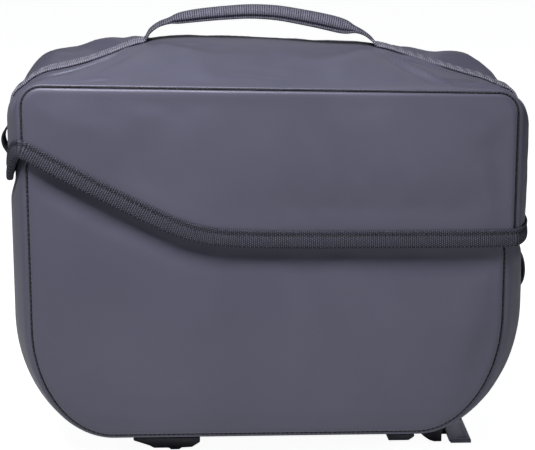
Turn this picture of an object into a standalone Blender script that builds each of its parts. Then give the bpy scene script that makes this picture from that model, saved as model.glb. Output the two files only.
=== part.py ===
# Bicycle trunk bag: a lower body, a hood with a bound edge, a carry strap and a rack foot.
# Metres, +Z up. +X runs along the bag, -Y is the front, and the floor is z = 0.

import math
from collections import namedtuple

import bmesh
import bpy
from mathutils import Vector

# Gap that two touching pieces keep
GAP = 0.0003

# Hood: upper shell, worn over the lower body
HOOD_LENGTH = 0.386
HOOD_DEPTH = 0.194
HOOD_TOP = 0.285
HOOD_FALL = 0.0065
HOOD_WALL = 0.002
HOOD_END_BULGE = 0.0138
HOOD_SEAM_RADIUS = 0.016
HOOD_TOP_RADIUS = 0.032
HOOD_PANEL_CROWN = 0.0035
HOOD_CROWN = 0.023
ANCHOR_PULL = 0.0012
ANCHOR_PULL_LENGTH = 0.018
ANCHOR_PULL_WIDTH = 0.024
FOLD_HEIGHT = 0.0035
FOLD_WIDTH = 0.009

# The crown fades out a little before the front and back seams, faster than a circle would
CROWN_REACH_SHARE = 0.95
CROWN_POWER = 2.2

# Lower edge of the hood: level on the right, rising to the left
EDGE_LEVEL = 0.1685
EDGE_SLOPE = 0.55
EDGE_KNEE = -0.056
EDGE_KNEE_ROUND = 0.012
END_FLAP_DROP = 0.023
END_FLAP_ROUND = 0.034

# Lower body, a little shorter and shallower than the hood that covers its rim
LOWER_END_STEP = 0.0005
LOWER_SIDE_STEP = 0.005
LOWER_LENGTH = HOOD_LENGTH - 2 * LOWER_END_STEP
LOWER_DEPTH = HOOD_DEPTH - 2 * LOWER_SIDE_STEP
LOWER_BOTTOM = 0.0145
LOWER_WALL = 0.002
LOWER_PANEL_WALL = 0.0025
LOWER_END_BULGE = 0.0173
LOWER_SEAM_SHIFT = 0.0018
LOWER_BASE_BULGE = 0.0095
LOWER_PANEL_CROWN = 0.004
LOWER_BELLY = 0.002
LOWER_RIM_TAPER = 0.0037
LOWER_TAPER_LENGTH = 0.018
LOWER_OVERLAP = 0.014
LEFT_CORNER = (0.076, 0.094)
RIGHT_CORNER = (0.078, 0.100)
LEFT_SEAM_CORNER = (0.060, 0.085)
RIGHT_SEAM_CORNER = (0.064, 0.092)
PANEL_ROLL = 0.035

# Webbing
BINDING_HEIGHT = 0.012
BINDING_WALL = 0.001
STRAP_WIDTH = 0.025
STRAP_WALL = 0.002
STRAP_DROP_LEFT = 0.028
STRAP_DROP_RIGHT = 0.039
ANCHOR_LEFT = -0.092
ANCHOR_RIGHT = 0.084
HANDLE_RISE = 0.049
GRIP_WIDTH = 0.019
GRIP_HEIGHT = 0.011
LOOP_WIDTH = 0.022
LOOP_WALL = 0.0018
LOOP_REACH = 0.0085
PULL_LOOP_HEIGHT = 0.040
PULL_LOOP_RISE = 0.0006
LIGHT_LOOP_HEIGHT = 0.044
LIGHT_LOOP_DROP = 0.0625
PATCH_WIDTH = 0.050
PATCH_HEIGHT = 0.014
PATCH_WALL = 0.0015
PATCH_DROP = 0.0359

# Bevel of a webbing's corners as shares: all webbing, and what a folded grip adds
WEBBING_BEVEL_SHARE = 0.35
GRIP_BEVEL_SHARE = 0.3

# Rack foot: plate with a raised seat for the rack, runners and pads
PLATE_INSET_LEFT = 0.0045
PLATE_UNDER_RIGHT = 0.0135
PLATE_FROM = LEFT_CORNER[0] - LOWER_LENGTH / 2 + PLATE_INSET_LEFT
PLATE_TO = LOWER_LENGTH / 2 - RIGHT_CORNER[0] + PLATE_UNDER_RIGHT
PLATE_WIDTH = 0.124
PLATE_WALL = 0.004
PLATE_CORNER = 0.012
SEAT_STEP = 0.001
SEAT_MARGIN = 0.002
RUNNER_WIDTH = 0.012
RUNNER_INSET = 0.008
RUNNER_FROM = PLATE_FROM + RUNNER_INSET
RUNNER_LENGTH = 0.051
PAD_INSET = 0.038
PAD_FROM = PLATE_TO - PAD_INSET
PAD_LENGTH = 0.022
PAD_DROP = 0.005

# Latch: housing under the plate's end, pin, and the lever that swings on it
HOUSING_UNDER = 0.013
HOUSING_FOOT = 0.0065
HOUSING_WIDTH = 0.104
HOUSING_FROM = PLATE_TO - HOUSING_UNDER
HOUSING_TO = PLATE_TO + HOUSING_FOOT
LUG_WIDTH = 0.005
LUG_REACH = 0.0035
PIVOT_REACH = 0.008
PIVOT_HEIGHT = 0.010
PIVOT = (HOUSING_TO + PIVOT_REACH, PIVOT_HEIGHT)
PIN_RADIUS = 0.002
PIN_BORE = 0.0024
LEVER_SIDE_GAP = 0.0018
LEVER_WALL = 0.0032
LEVER_WIDTH = HOUSING_WIDTH + 2 * (LEVER_SIDE_GAP + LEVER_WALL)
LEVER_FLOOR_GAP = 0.0006
LEVER_LIP = 0.0008
LEVER_LIP_HEIGHT = 0.0024
LEVER_RECESS = 0.0008
LEVER_RISE = 0.0095
LEVER_REACH = 0.0135
LEVER_TOP = PIVOT_HEIGHT + LEVER_RISE
LEVER_TOE = PIVOT[0] + LEVER_REACH

# Lever's inner corners, measured from its pivot
LEVER_NOSE_BACK = 0.006
LEVER_NOSE_RISE = 0.002
LEVER_HEEL_BACK = 0.003
LEVER_HEEL_DROP = 0.0075
LEVER_FOOT_BACK = 0.0015
LEVER_CREST_FROM = 0.0005
LEVER_CREST_TO = 0.0065
LEVER_HOLLOW_BACK = 0.020
LEVER_HOLLOW_OVER = 0.001
RECESS_MARGIN = 0.0015
RECESS_FROM_BORE = 0.001
RECESS_CREST_DROP = 0.003
PIN_SEAT_SHARE = 0.3

# Housing's slanted underside: place along its foot and height, as shares
HOUSING_SHARES = [
    (0.00, 1.00),
    (0.30, 0.42),
    (0.52, 0.12),
    (0.70, 0.00),
]

# Pad's side outline: place along its length and drop, as shares
PAD_SHARES = [
    (0.0, 0.0),
    (0.1, 1.0),
    (0.8, 1.0),
    (1.0, 0.4),
    (1.0, 0.0),
]

# Hood crown along the top: place as a share of the half length, height as a share of the crown
CROWN_SHARES = [
    (-1.00, -0.24),
    (-0.93, -0.22),
    (-0.86, -0.14),
    (-0.76, 0.02),
    (-0.65, 0.32),
    (-0.48, 0.85),
    (-0.32, 1.00),
    (0.00, 0.97),
    (0.22, 0.86),
    (0.43, 0.82),
    (0.55, 0.54),
    (0.70, 0.18),
    (0.80, -0.07),
    (0.88, -0.23),
    (0.95, -0.33),
    (1.00, -0.33),
]
CROWN_ROUND_SHARE = 0.06

# Tension folds on the top: ends as shares of half length and half depth, height share
FOLD_SHARES = [
    (-0.50, -0.16, -0.80, -0.80, 1.0),
    (0.46, -0.16, 0.62, -0.78, 1.0),
    (0.50, -0.12, 0.84, -0.72, 0.8),
    (-0.50, 0.16, -0.80, 0.80, 0.9),
    (0.46, 0.16, 0.64, 0.78, 0.9),
    (0.50, 0.12, 0.84, 0.70, 0.7),
]

# Soft dents of the hood's panels: centre and size as shares of half length and of the top height
DENT_DEPTH = 0.0018
DENT_SHARES = [
    (-0.42, 0.86, 0.10, 0.12, 1.0),
    (-0.05, 0.90, 0.16, 0.07, 0.6),
    (0.22, 0.84, 0.10, 0.10, 0.9),
    (0.62, 0.88, 0.12, 0.08, 0.7),
]

# Places across the depth where the end and top walls have a row of points
DEPTH_SHARES = [0.0, 0.135, 0.34, 0.56, 0.76, 0.90]
END_PROFILE_POWER = 5.0
TOP_STEPS = 18

# Handle: place between the anchors, height above the anchors as a share, blend from strap to grip
HANDLE_SHARES = [
    (0.022, 0.30, 0.0),
    (0.060, 0.54, 0.0),
    (0.105, 0.67, 0.25),
    (0.150, 0.75, 0.8),
    (0.240, 0.86, 1.0),
    (0.350, 0.95, 1.0),
    (0.460, 1.00, 1.0),
    (0.570, 0.96, 1.0),
    (0.680, 0.83, 1.0),
    (0.780, 0.69, 1.0),
    (0.860, 0.55, 0.8),
    (0.910, 0.44, 0.25),
    (0.950, 0.31, 0.0),
    (0.980, 0.15, 0.0),
]

# Loops: place down the loop and reach, as shares of its height and of its stand-off
LOOP_SHARES = [
    (0.20, 0.00),
    (0.30, 0.36),
    (0.42, 0.86),
    (0.54, 1.00),
    (0.66, 0.90),
    (0.76, 0.42),
    (0.85, 0.00),
]

# Runner's side outline: place along its length and drop, as shares
RUNNER_SHARES = [
    (0.00, 0.00),
    (0.00, 0.22),
    (0.24, 0.66),
    (0.31, 0.86),
    (0.53, 0.86),
    (0.56, 1.00),
    (0.69, 1.00),
    (0.72, 0.86),
    (0.88, 0.82),
    (1.00, 0.42),
    (1.00, 0.00),
]

# Places along the front edge of the hood, as shares of its half length
EDGE_SHARES = [
    -1.0, -0.955, -0.905, -0.85, -0.76, -0.65, -0.54, -0.44, -0.36, -0.29,
    -0.20, -0.08, 0.15, 0.40, 0.62, 0.78, 0.85, 0.905, 0.955, 1.0,
]

# How far in from the outline each ring of a panel lies, as a share of the way to its middle
RING_SHARES = [0.045, 0.11, 0.21, 0.38, 0.66]

# Middle of each panel's rings: sideways as a share of the length, up as a share of the panel
HOOD_MIDDLE_SHARES = (0.16, 0.5)
LOWER_MIDDLE_SHARES = (0.0, 0.5)

# The top's crown comes in over this stretch of the top's rounding, as shares of its radius
CROWN_START_SHARE = 0.6
CROWN_BLEND_SHARE = 0.5

Outline = namedtuple("Outline", "half_length bottom top fall top_radius left_corner right_corner shift")


def clear_scene():
    for obj in list(bpy.data.objects):
        bpy.data.objects.remove(obj, do_unlink=True)


def principled(name, color, roughness, metallic=0.0):
    material = bpy.data.materials.new(name)
    material.use_nodes = True
    shader = material.node_tree.nodes["Principled BSDF"]
    shader.inputs["Base Color"].default_value = (*color, 1.0)
    shader.inputs["Roughness"].default_value = roughness
    shader.inputs["Metallic"].default_value = metallic
    material.diffuse_color = (*color, 1.0)
    return material


def add_object(name, work, material, smooth_angle=0.6):
    bmesh.ops.recalc_face_normals(work, faces=work.faces)
    mesh = bpy.data.meshes.new(name)
    work.to_mesh(mesh)
    work.free()
    mesh.materials.append(material)
    mesh.shade_smooth()
    mesh.set_sharp_from_angle(angle=smooth_angle)
    obj = bpy.data.objects.new(name, mesh)
    bpy.context.scene.collection.objects.link(obj)
    return obj


def mirrored_copy(obj, name, material):
    work = bmesh.new()
    work.from_mesh(obj.data)
    for vertex in work.verts:
        vertex.co.y = -vertex.co.y
    bmesh.ops.reverse_faces(work, faces=work.faces)
    return add_object(name, work, material)


def add_boolean(obj, cutter, operation="DIFFERENCE"):
    cutter.hide_render = True
    cutter.display_type = "WIRE"
    modifier = obj.modifiers.new(cutter.name, "BOOLEAN")
    modifier.operation = operation
    modifier.solver = "EXACT"
    modifier.object = cutter


def smooth_step(value):
    value = min(1.0, max(0.0, value))
    return value * value * (3.0 - 2.0 * value)


def table_value(table, place):
    place = max(table[0][0], place)
    for (low, low_value), (high, high_value) in zip(table, table[1:]):
        if place <= high:
            return low_value + (high_value - low_value) * (place - low) / (high - low)
    return table[-1][1]


# Mean over a short stretch, which rounds the table's corners
def rounded_value(table, place, reach):
    steps = (-1.0, -0.5, 0.0, 0.5, 1.0)
    return sum(table_value(table, place + step * reach) for step in steps) / len(steps)


def line(start, end, steps):
    return [start + (end - start) * step / steps for step in range(steps)]


def arc(centre, radii, start, end, steps):
    points = []
    for step in range(steps):
        angle = math.radians(start + (end - start) * step / steps)
        points.append((centre[0] + radii[0] * math.cos(angle), centre[1] + radii[1] * math.sin(angle)))
    return points


# Hood outlines: over the middle of the depth, and at the front and back seams
def hood_outlines():
    half = HOOD_LENGTH / 2
    middle = Outline(half, 0, HOOD_TOP, HOOD_FALL, HOOD_TOP_RADIUS, None, None, 0)
    seam = Outline(half - HOOD_END_BULGE, 0, HOOD_TOP, HOOD_FALL, HOOD_SEAM_RADIUS, None, None, 0)
    return middle, seam


# The lower seams lie a little further left than the hood's, as the panels were cut
def lower_outlines():
    half = LOWER_LENGTH / 2
    middle = Outline(half, LOWER_BOTTOM, 0, 0, 0, LEFT_CORNER, RIGHT_CORNER, 0)
    seam = Outline(
        half - LOWER_END_BULGE, LOWER_BOTTOM + LOWER_BASE_BULGE, 0, 0, 0,
        LEFT_SEAM_CORNER, RIGHT_SEAM_CORNER, -LOWER_SEAM_SHIFT,
    )
    return middle, seam


# Open path (x, z) over the top, from the left edge height to the right one
def hood_path(outline, left_height, right_height):
    radius = outline.top_radius
    inner = outline.half_length - radius
    left_top = outline.top + outline.fall / 2
    right_top = outline.top - outline.fall / 2
    path = [(-outline.half_length, z) for z in line(left_height, left_top - radius, 4)]
    path += arc((-inner, left_top - radius), (radius, radius), 180, 90, 6)
    heights = line(left_top, right_top, TOP_STEPS)
    path += list(zip(line(-inner, inner, TOP_STEPS), heights))
    path += arc((inner, right_top - radius), (radius, radius), 90, 0, 6)
    path += [(outline.half_length, z) for z in line(right_top - radius, right_height, 4)]
    path.append((outline.half_length, right_height))
    return path


# Open path (x, z) round the bottom, from the left rim height to the right one
def lower_path(outline, left_height, right_height):
    left_wide, left_tall = outline.left_corner
    right_wide, right_tall = outline.right_corner
    left_inner = -outline.half_length + left_wide
    right_inner = outline.half_length - right_wide
    left_side = outline.bottom + left_tall
    right_side = outline.bottom + right_tall
    taper_left = flap_edge_height(0) - LOWER_TAPER_LENGTH
    path = [(-outline.half_length, z) for z in line(left_height, taper_left, 4)]
    path += [(-outline.half_length, z) for z in line(taper_left, left_side, 2)]
    path += arc((left_inner, left_side), outline.left_corner, 180, 270, 8)
    path += [(x, outline.bottom) for x in line(left_inner, right_inner, 5)]
    path += arc((right_inner, right_side), outline.right_corner, 270, 360, 8)
    path += [(outline.half_length, z) for z in line(right_side, right_height, 4)]
    path.append((outline.half_length, right_height))
    return [taper_point(x, z, outline.shift) for x, z in path]


# The lower body draws in a little where the hood covers it
def taper_point(x, z, shift):
    covered = flap_edge_height(0) if x < 0 else EDGE_LEVEL
    share = smooth_step((z - covered + LOWER_TAPER_LENGTH) / LOWER_TAPER_LENGTH)
    return x + shift * (1 - share) - math.copysign(LOWER_RIM_TAPER * share, x), z


# Height of the hood's cut edge on the front and back
def edge_height(x):
    before = EDGE_KNEE - x
    rise = 0.5 * (before + math.hypot(before, 2 * EDGE_KNEE_ROUND))
    return EDGE_LEVEL + EDGE_SLOPE * rise


# On the left end the edge drops below the front corner as a flap
def flap_edge_height(y):
    corner = edge_height(-HOOD_LENGTH / 2 + HOOD_END_BULGE)
    share = smooth_step((HOOD_DEPTH / 2 - abs(y)) / END_FLAP_ROUND)
    return corner - END_FLAP_DROP * share


def crown_height(x, y):
    across = max(0.0, 1 - (abs(y) / (CROWN_REACH_SHARE * HOOD_DEPTH / 2)) ** CROWN_POWER)
    share = rounded_value(CROWN_SHARES, x / (HOOD_LENGTH / 2), CROWN_ROUND_SHARE)
    broad = HOOD_CROWN * share * across
    pull = 0.0
    for anchor in (ANCHOR_LEFT, ANCHOR_RIGHT):
        along = (x - anchor) / ANCHOR_PULL_LENGTH
        aside = max(0.0, abs(y) - STRAP_WIDTH / 2) / ANCHOR_PULL_WIDTH
        pull += ANCHOR_PULL * math.exp(-along * along / 2 - aside * aside * 2)
    return broad + pull + fold_height(x, y)


def fold_height(x, y):
    total = 0.0
    for from_x, from_y, to_x, to_y, share in FOLD_SHARES:
        start = Vector((from_x * HOOD_LENGTH / 2, from_y * HOOD_DEPTH / 2))
        end = Vector((to_x * HOOD_LENGTH / 2, to_y * HOOD_DEPTH / 2))
        way = end - start
        along = (Vector((x, y)) - start).dot(way) / way.length_squared
        aside = (Vector((x, y)) - start - way * along).length / FOLD_WIDTH
        ends = smooth_step(along * 4) * smooth_step((1 - along) * 3)
        total += share * FOLD_HEIGHT * ends * math.exp(-aside * aside)
    beside_strap = smooth_step((abs(y) - 0.55 * STRAP_WIDTH) / FOLD_WIDTH)
    return total * beside_strap


def depth_rows(half_depth, edge):
    shares = [share for share in DEPTH_SHARES if share * half_depth < edge]
    rows = [share * half_depth for share in shares] + [edge]
    return [-y for y in reversed(rows[1:])] + rows


def blend_paths(middle, seam, share):
    return [
        (sx + (mx - sx) * share, sz + (mz - sz) * share)
        for (mx, mz), (sx, sz) in zip(middle, seam)
    ]


# Rows of points over the hood's ends and top, front to back
def hood_grid():
    middle, seam = hood_outlines()
    half_depth = HOOD_DEPTH / 2
    right = edge_height(seam.half_length)
    grid = []
    for y in depth_rows(half_depth, half_depth - HOOD_WALL - GAP):
        left = flap_edge_height(y)
        share = 1 - (abs(y) / half_depth) ** END_PROFILE_POWER
        path = blend_paths(hood_path(middle, left, right), hood_path(seam, left, right), share)
        row = []
        for x, z in path:
            start = HOOD_TOP - CROWN_START_SHARE * HOOD_TOP_RADIUS
            on_top = smooth_step((z - start) / (CROWN_BLEND_SHARE * HOOD_TOP_RADIUS))
            row.append(Vector((x, y, z + crown_height(x, y) * on_top)))
        grid.append(row)
    return grid


# Heights of the lower body's rim, which lies under the hood
def rim_height(x):
    return edge_height(x) + LOWER_OVERLAP


def lower_grid():
    middle, seam = lower_outlines()
    half_depth = LOWER_DEPTH / 2
    left = rim_height(-seam.half_length)
    right = rim_height(seam.half_length)
    grid = []
    for y in depth_rows(half_depth, half_depth - LOWER_PANEL_WALL - GAP):
        share = 1 - (abs(y) / half_depth) ** END_PROFILE_POWER
        path = blend_paths(
            lower_path(middle, left, right), lower_path(seam, left, right), share
        )
        grid.append([Vector((x, y, z)) for x, z in path])
    return grid


def grid_normals(grid, inside):
    normals = []
    for row_index, row in enumerate(grid):
        line_of_normals = []
        for index, point in enumerate(row):
            before = row[max(index - 1, 0)]
            after = row[min(index + 1, len(row) - 1)]
            near = grid[max(row_index - 1, 0)][index]
            far = grid[min(row_index + 1, len(grid) - 1)][index]
            normal = (after - before).cross(far - near).normalized()
            if normal.dot(point - inside) < 0:
                normal = -normal
            line_of_normals.append(normal)
        normals.append(line_of_normals)
    return normals


# Closed wall from a grid of outer points and a second one behind it
def shell_from_grid(grid, normals, wall):
    work = bmesh.new()
    rows, columns = len(grid), len(grid[0])
    outer = [[work.verts.new(point) for point in row] for row in grid]
    inner = []
    for row, line_of_normals in zip(grid, normals):
        inner.append([work.verts.new(p - n * wall) for p, n in zip(row, line_of_normals)])
    for r in range(rows - 1):
        for c in range(columns - 1):
            work.faces.new((outer[r][c], outer[r + 1][c], outer[r + 1][c + 1], outer[r][c + 1]))
            work.faces.new((inner[r][c], inner[r][c + 1], inner[r + 1][c + 1], inner[r + 1][c]))
    border = [(0, c) for c in range(columns)]
    border += [(r, columns - 1) for r in range(1, rows)]
    border += [(rows - 1, c) for c in range(columns - 2, -1, -1)]
    border += [(r, 0) for r in range(rows - 2, 0, -1)]
    for (r0, c0), (r1, c1) in zip(border, border[1:] + border[:1]):
        work.faces.new((outer[r0][c0], outer[r1][c1], inner[r1][c1], inner[r0][c0]))
    return work


def distance_to_path(x, z, path):
    point = Vector((x, z))
    nearest = 1.0
    for start, end in zip(path, path[1:]):
        start, end = Vector(start), Vector(end)
        way = end - start
        share = min(1.0, max(0.0, (point - start).dot(way) / way.length_squared))
        nearest = min(nearest, (point - start - way * share).length)
    return nearest


def panel_roll(distance):
    share = min(1.0, distance / PANEL_ROLL)
    return 1 - (1 - share) ** 2


# Panel that closes the front: rings from its outline to its middle, pushed out by depth_at
def panel_mesh(outline, middle, depth_at, wall):
    work = bmesh.new()
    rings = []
    for share in [0.0] + RING_SHARES:
        rings.append([(x + (middle[0] - x) * share, z + (middle[1] - z) * share) for x, z in outline])
    faces = []
    for push in (0.0, wall):
        verts = [[work.verts.new((x, push - depth_at(x, z), z)) for x, z in ring] for ring in rings]
        hub = work.verts.new((middle[0], push - depth_at(*middle), middle[1]))
        count = len(outline)
        for ring, next_ring in zip(verts, verts[1:]):
            for i in range(count):
                j = (i + 1) % count
                work.faces.new((ring[i], ring[j], next_ring[j], next_ring[i]))
        for i in range(count):
            work.faces.new((verts[-1][i], verts[-1][(i + 1) % count], hub))
        faces.append(verts[0])
    front, back = faces
    for i in range(len(front)):
        j = (i + 1) % len(front)
        work.faces.new((front[i], front[j], back[j], back[i]))
    return work


def hood_seam_path():
    seam = hood_outlines()[1]
    return hood_path(seam, edge_height(-seam.half_length), edge_height(seam.half_length))


# The roll follows the seam as if its ends ran on down past the cut edge
def hood_panel_depth(x, z):
    path = hood_seam_path()
    path = [(path[0][0], 0.0)] + path + [(path[-1][0], 0.0)]
    roll = panel_roll(distance_to_path(x, z, path))
    dent = 0.0
    for at_x, at_z, wide, tall, share in DENT_SHARES:
        aside = (x / (HOOD_LENGTH / 2) - at_x) / wide
        above = (z / HOOD_TOP - at_z) / tall
        dent += share * math.exp(-aside * aside - above * above)
    dent *= smooth_step((z - edge_height(x) - 1.5 * BINDING_HEIGHT) / BINDING_HEIGHT)
    return HOOD_DEPTH / 2 + (HOOD_PANEL_CROWN - DENT_DEPTH * dent) * roll


def hood_panel_outline():
    seam = hood_outlines()[1]
    path = hood_seam_path()
    stations = [share * seam.half_length for share in reversed(EDGE_SHARES[1:-1])]
    return path + [(x, edge_height(x)) for x in stations]


def lower_seam_path():
    seam = lower_outlines()[1]
    return lower_path(seam, rim_height(-seam.half_length), rim_height(seam.half_length))


def lower_panel_depth(x, z):
    path = lower_seam_path()
    roll = panel_roll(distance_to_path(x, z, path))
    below = edge_height(x) - LOWER_TAPER_LENGTH - z
    belly = LOWER_BELLY * smooth_step(below / (3 * LOWER_TAPER_LENGTH))
    return LOWER_DEPTH / 2 + (LOWER_PANEL_CROWN + belly) * roll


def lower_panel_outline():
    path = lower_seam_path()
    left, right = path[0][0], path[-1][0]
    places = [0.5 * (1 + share) for share in reversed(EDGE_SHARES[2:-2])]
    stations = [left + (right - left) * place for place in places]
    return path + [(x, rim_height(x)) for x in stations]


# Outer line of the hood's wall at its edge, once round, as points and edge heights
def hood_edge_loop():
    grid = hood_grid()
    seam = hood_outlines()[1]
    front = []
    for share in EDGE_SHARES:
        x = share * seam.half_length
        z = edge_height(x)
        front.append(Vector((x, -hood_panel_depth(x, z), z)))
    back = [Vector((p.x, -p.y, p.z)) for p in reversed(front)]
    right_end = [row[-1] for row in grid]
    left_end = [row[0] for row in reversed(grid)]
    return front + right_end + back + left_end


# Outward direction at each point of the loop, and how much the slope stretches an upright
def loop_frames(points):
    frames = []
    count = len(points)
    for index, point in enumerate(points):
        before = point - points[index - 1]
        after = points[(index + 1) % count] - point
        first = Vector((before.y, -before.x, 0)).normalized()
        second = Vector((after.y, -after.x, 0)).normalized()
        out = (first + second).normalized()
        out = out / max(0.5, out.dot(first))
        tangent = (before.normalized() + after.normalized()).normalized()
        stretch = 1 / max(0.75, math.hypot(tangent.x, tangent.y))
        frames.append((point, out, stretch))
    return frames


# Folded webbing that grips the hood's edge from both sides and follows its panels
def binding_mesh():
    near = GAP
    far = GAP + BINDING_WALL
    profile = [
        (-far, far),
        (BINDING_HEIGHT, far),
        (BINDING_HEIGHT, near),
        (-near, near),
        (-near, -HOOD_WALL - near),
        (BINDING_HEIGHT, -HOOD_WALL - near),
        (BINDING_HEIGHT, -HOOD_WALL - far),
        (-far, -HOOD_WALL - far),
    ]
    seam_half = hood_outlines()[1].half_length
    work = bmesh.new()
    loops = []
    for point, out, stretch in loop_frames(hood_edge_loop()):
        loop = []
        for rise, aside in profile:
            corner = point + out * aside
            if abs(point.x) <= seam_half:
                corner.z = edge_height(max(-seam_half, min(seam_half, corner.x)))
            corner.z += rise * stretch
            loop.append(work.verts.new(corner))
        loops.append(loop)
    for loop, next_loop in zip(loops, loops[1:] + loops[:1]):
        for i in range(len(profile)):
            j = (i + 1) % len(profile)
            work.faces.new((loop[i], loop[j], next_loop[j], next_loop[i]))
    return work


# Webbing swept along points in the plane y = 0, with a width and a height at each point
def webbing_mesh(points, sizes):
    work = bmesh.new()
    rings = []
    for index, (x, z) in enumerate(points):
        before = Vector(points[max(index - 1, 0)])
        after = Vector(points[min(index + 1, len(points) - 1)])
        way = (after - before).normalized()
        up = Vector((-way.y, way.x))
        width, height, roundness = sizes[index]
        cut_up = height / 2 * (WEBBING_BEVEL_SHARE + GRIP_BEVEL_SHARE * roundness)
        cut_y = max(width / 2 * GRIP_BEVEL_SHARE * roundness, cut_up)
        section = [
            (-width / 2, -height / 2 + cut_up),
            (-width / 2, height / 2 - cut_up),
            (-width / 2 + cut_y, height / 2),
            (width / 2 - cut_y, height / 2),
            (width / 2, height / 2 - cut_up),
            (width / 2, -height / 2 + cut_up),
            (width / 2 - cut_y, -height / 2),
            (-width / 2 + cut_y, -height / 2),
        ]
        rings.append([work.verts.new((x + up.x * h, y, z + up.y * h)) for y, h in section])
    for ring, next_ring in zip(rings, rings[1:]):
        for i in range(len(ring)):
            j = (i + 1) % len(ring)
            work.faces.new((ring[i], ring[j], next_ring[j], next_ring[i]))
    work.faces.new(rings[0])
    work.faces.new(rings[-1])
    return work


def strap_mesh():
    grid = hood_grid()
    normals = grid_normals(grid, Vector((0, 0, HOOD_TOP / 2)))
    centre = len(grid) // 2
    lift = GAP + STRAP_WALL / 2
    run = []
    for point, normal in zip(grid[centre], normals[centre]):
        run.append((point.x + normal.x * lift, point.z + normal.z * lift))
    left_run = [p for p in run if p[0] < ANCHOR_LEFT and p[1] > HOOD_TOP - STRAP_DROP_LEFT]
    right_run = [p for p in run if p[0] > ANCHOR_RIGHT and p[1] > HOOD_TOP - STRAP_DROP_RIGHT]
    left_top = HOOD_TOP - HOOD_FALL / 2 * ANCHOR_LEFT / (HOOD_LENGTH / 2)
    right_top = HOOD_TOP - HOOD_FALL / 2 * ANCHOR_RIGHT / (HOOD_LENGTH / 2)
    left_anchor = (ANCHOR_LEFT, left_top + crown_height(ANCHOR_LEFT, 0) + lift)
    right_anchor = (ANCHOR_RIGHT, right_top + crown_height(ANCHOR_RIGHT, 0) + lift)
    points = left_run + [left_anchor]
    flat = (STRAP_WIDTH, STRAP_WALL, 0.0)
    sizes = [flat] * len(points)
    top = HOOD_TOP + HANDLE_RISE - GRIP_HEIGHT / 2
    for place, rise, grip in HANDLE_SHARES:
        x = ANCHOR_LEFT + (ANCHOR_RIGHT - ANCHOR_LEFT) * place
        foot = left_anchor[1] + (right_anchor[1] - left_anchor[1]) * place
        points.append((x, foot + (top - foot) * rise))
        sizes.append((
            STRAP_WIDTH + (GRIP_WIDTH - STRAP_WIDTH) * grip,
            STRAP_WALL + (GRIP_HEIGHT - STRAP_WALL) * grip,
            grip,
        ))
    points += [right_anchor] + right_run
    sizes += [flat] * (len(right_run) + 1)
    return webbing_mesh(points, sizes)


# Loop of webbing on an end wall: sewn flat at its ends, standing off between them
def end_loop_mesh(side, foot, height, seat_at):
    points = []
    lift = GAP + LOOP_WALL / 2
    top = foot + height
    stand = HOOD_LENGTH / 2 + LOOP_REACH - LOOP_WALL / 2
    points.append((seat_at(top) + lift, top))
    for place, reach in LOOP_SHARES:
        z = top - place * height
        seat = seat_at(z) + lift
        points.append((seat + (stand - seat) * reach, z))
    points.append((seat_at(foot) + lift, foot))
    if side < 0:
        points = [(-x, z) for x, z in reversed(points)]
    return webbing_mesh(points, [(LOOP_WIDTH, LOOP_WALL, 0.0)] * len(points))


def pull_loop_foot():
    return flap_edge_height(0) + PULL_LOOP_RISE


def hood_end_seat(z):
    bound = pull_loop_foot() + BINDING_HEIGHT + 2 * GAP
    over = GAP + BINDING_WALL if z < bound else 0.0
    return HOOD_LENGTH / 2 + over


def lower_end_seat(z):
    wide, tall = RIGHT_CORNER
    below = max(0.0, LOWER_BOTTOM + tall - z)
    return LOWER_LENGTH / 2 - wide * (1 - math.sqrt(1 - (below / tall) ** 2))


# Prism along Y from an outline in the XZ plane
def prism_mesh(outline, from_y, to_y):
    work = bmesh.new()
    front = [work.verts.new((x, from_y, z)) for x, z in outline]
    back = [work.verts.new((x, to_y, z)) for x, z in outline]
    work.faces.new(front)
    work.faces.new(back)
    for i in range(len(outline)):
        j = (i + 1) % len(outline)
        work.faces.new((front[i], front[j], back[j], back[i]))
    return work


def patch_mesh():
    seat = -LOWER_LENGTH / 2 - GAP
    foot = flap_edge_height(0) - PATCH_DROP
    outline = [
        (seat, foot),
        (seat - PATCH_WALL, foot),
        (seat - PATCH_WALL, foot + PATCH_HEIGHT),
        (seat, foot + PATCH_HEIGHT),
    ]
    return prism_mesh(outline, -PATCH_WIDTH / 2, PATCH_WIDTH / 2)


def plate_bottom():
    return LOWER_BOTTOM - GAP - PLATE_WALL


# The seat that lies on the rack stands a little proud, between the runners and short of the housing
def plate_object(material):
    plate = add_object("base_plate", plate_mesh(), material)
    low, high = plate_bottom() - SEAT_STEP, LOWER_BOTTOM - GAP - PLATE_WALL / 2
    seat_from, seat_to = PLATE_FROM + PLATE_CORNER, HOUSING_FROM - SEAT_MARGIN
    outline = [(seat_from, low), (seat_to, low), (seat_to, high), (seat_from, high)]
    side = PLATE_WIDTH / 2 - RUNNER_WIDTH - SEAT_MARGIN
    add_boolean(plate, add_object("plate_seat", prism_mesh(outline, -side, side), material), "UNION")


def plate_mesh():
    work = bmesh.new()
    corner = PLATE_CORNER
    low_x, high_x = PLATE_FROM + corner, PLATE_TO - corner
    low_y, high_y = -PLATE_WIDTH / 2 + corner, PLATE_WIDTH / 2 - corner
    outline = []
    for centre, start in (
        ((high_x, high_y), 0), ((low_x, high_y), 90), ((low_x, low_y), 180), ((high_x, low_y), 270)
    ):
        outline += arc(centre, (corner, corner), start, start + 112.5, 5)
    top = LOWER_BOTTOM - GAP
    lower = [work.verts.new((x, y, plate_bottom())) for x, y in outline]
    upper = [work.verts.new((x, y, top)) for x, y in outline]
    work.faces.new(lower)
    work.faces.new(upper)
    for i in range(len(outline)):
        j = (i + 1) % len(outline)
        work.faces.new((lower[i], lower[j], upper[j], upper[i]))
    return work


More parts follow.
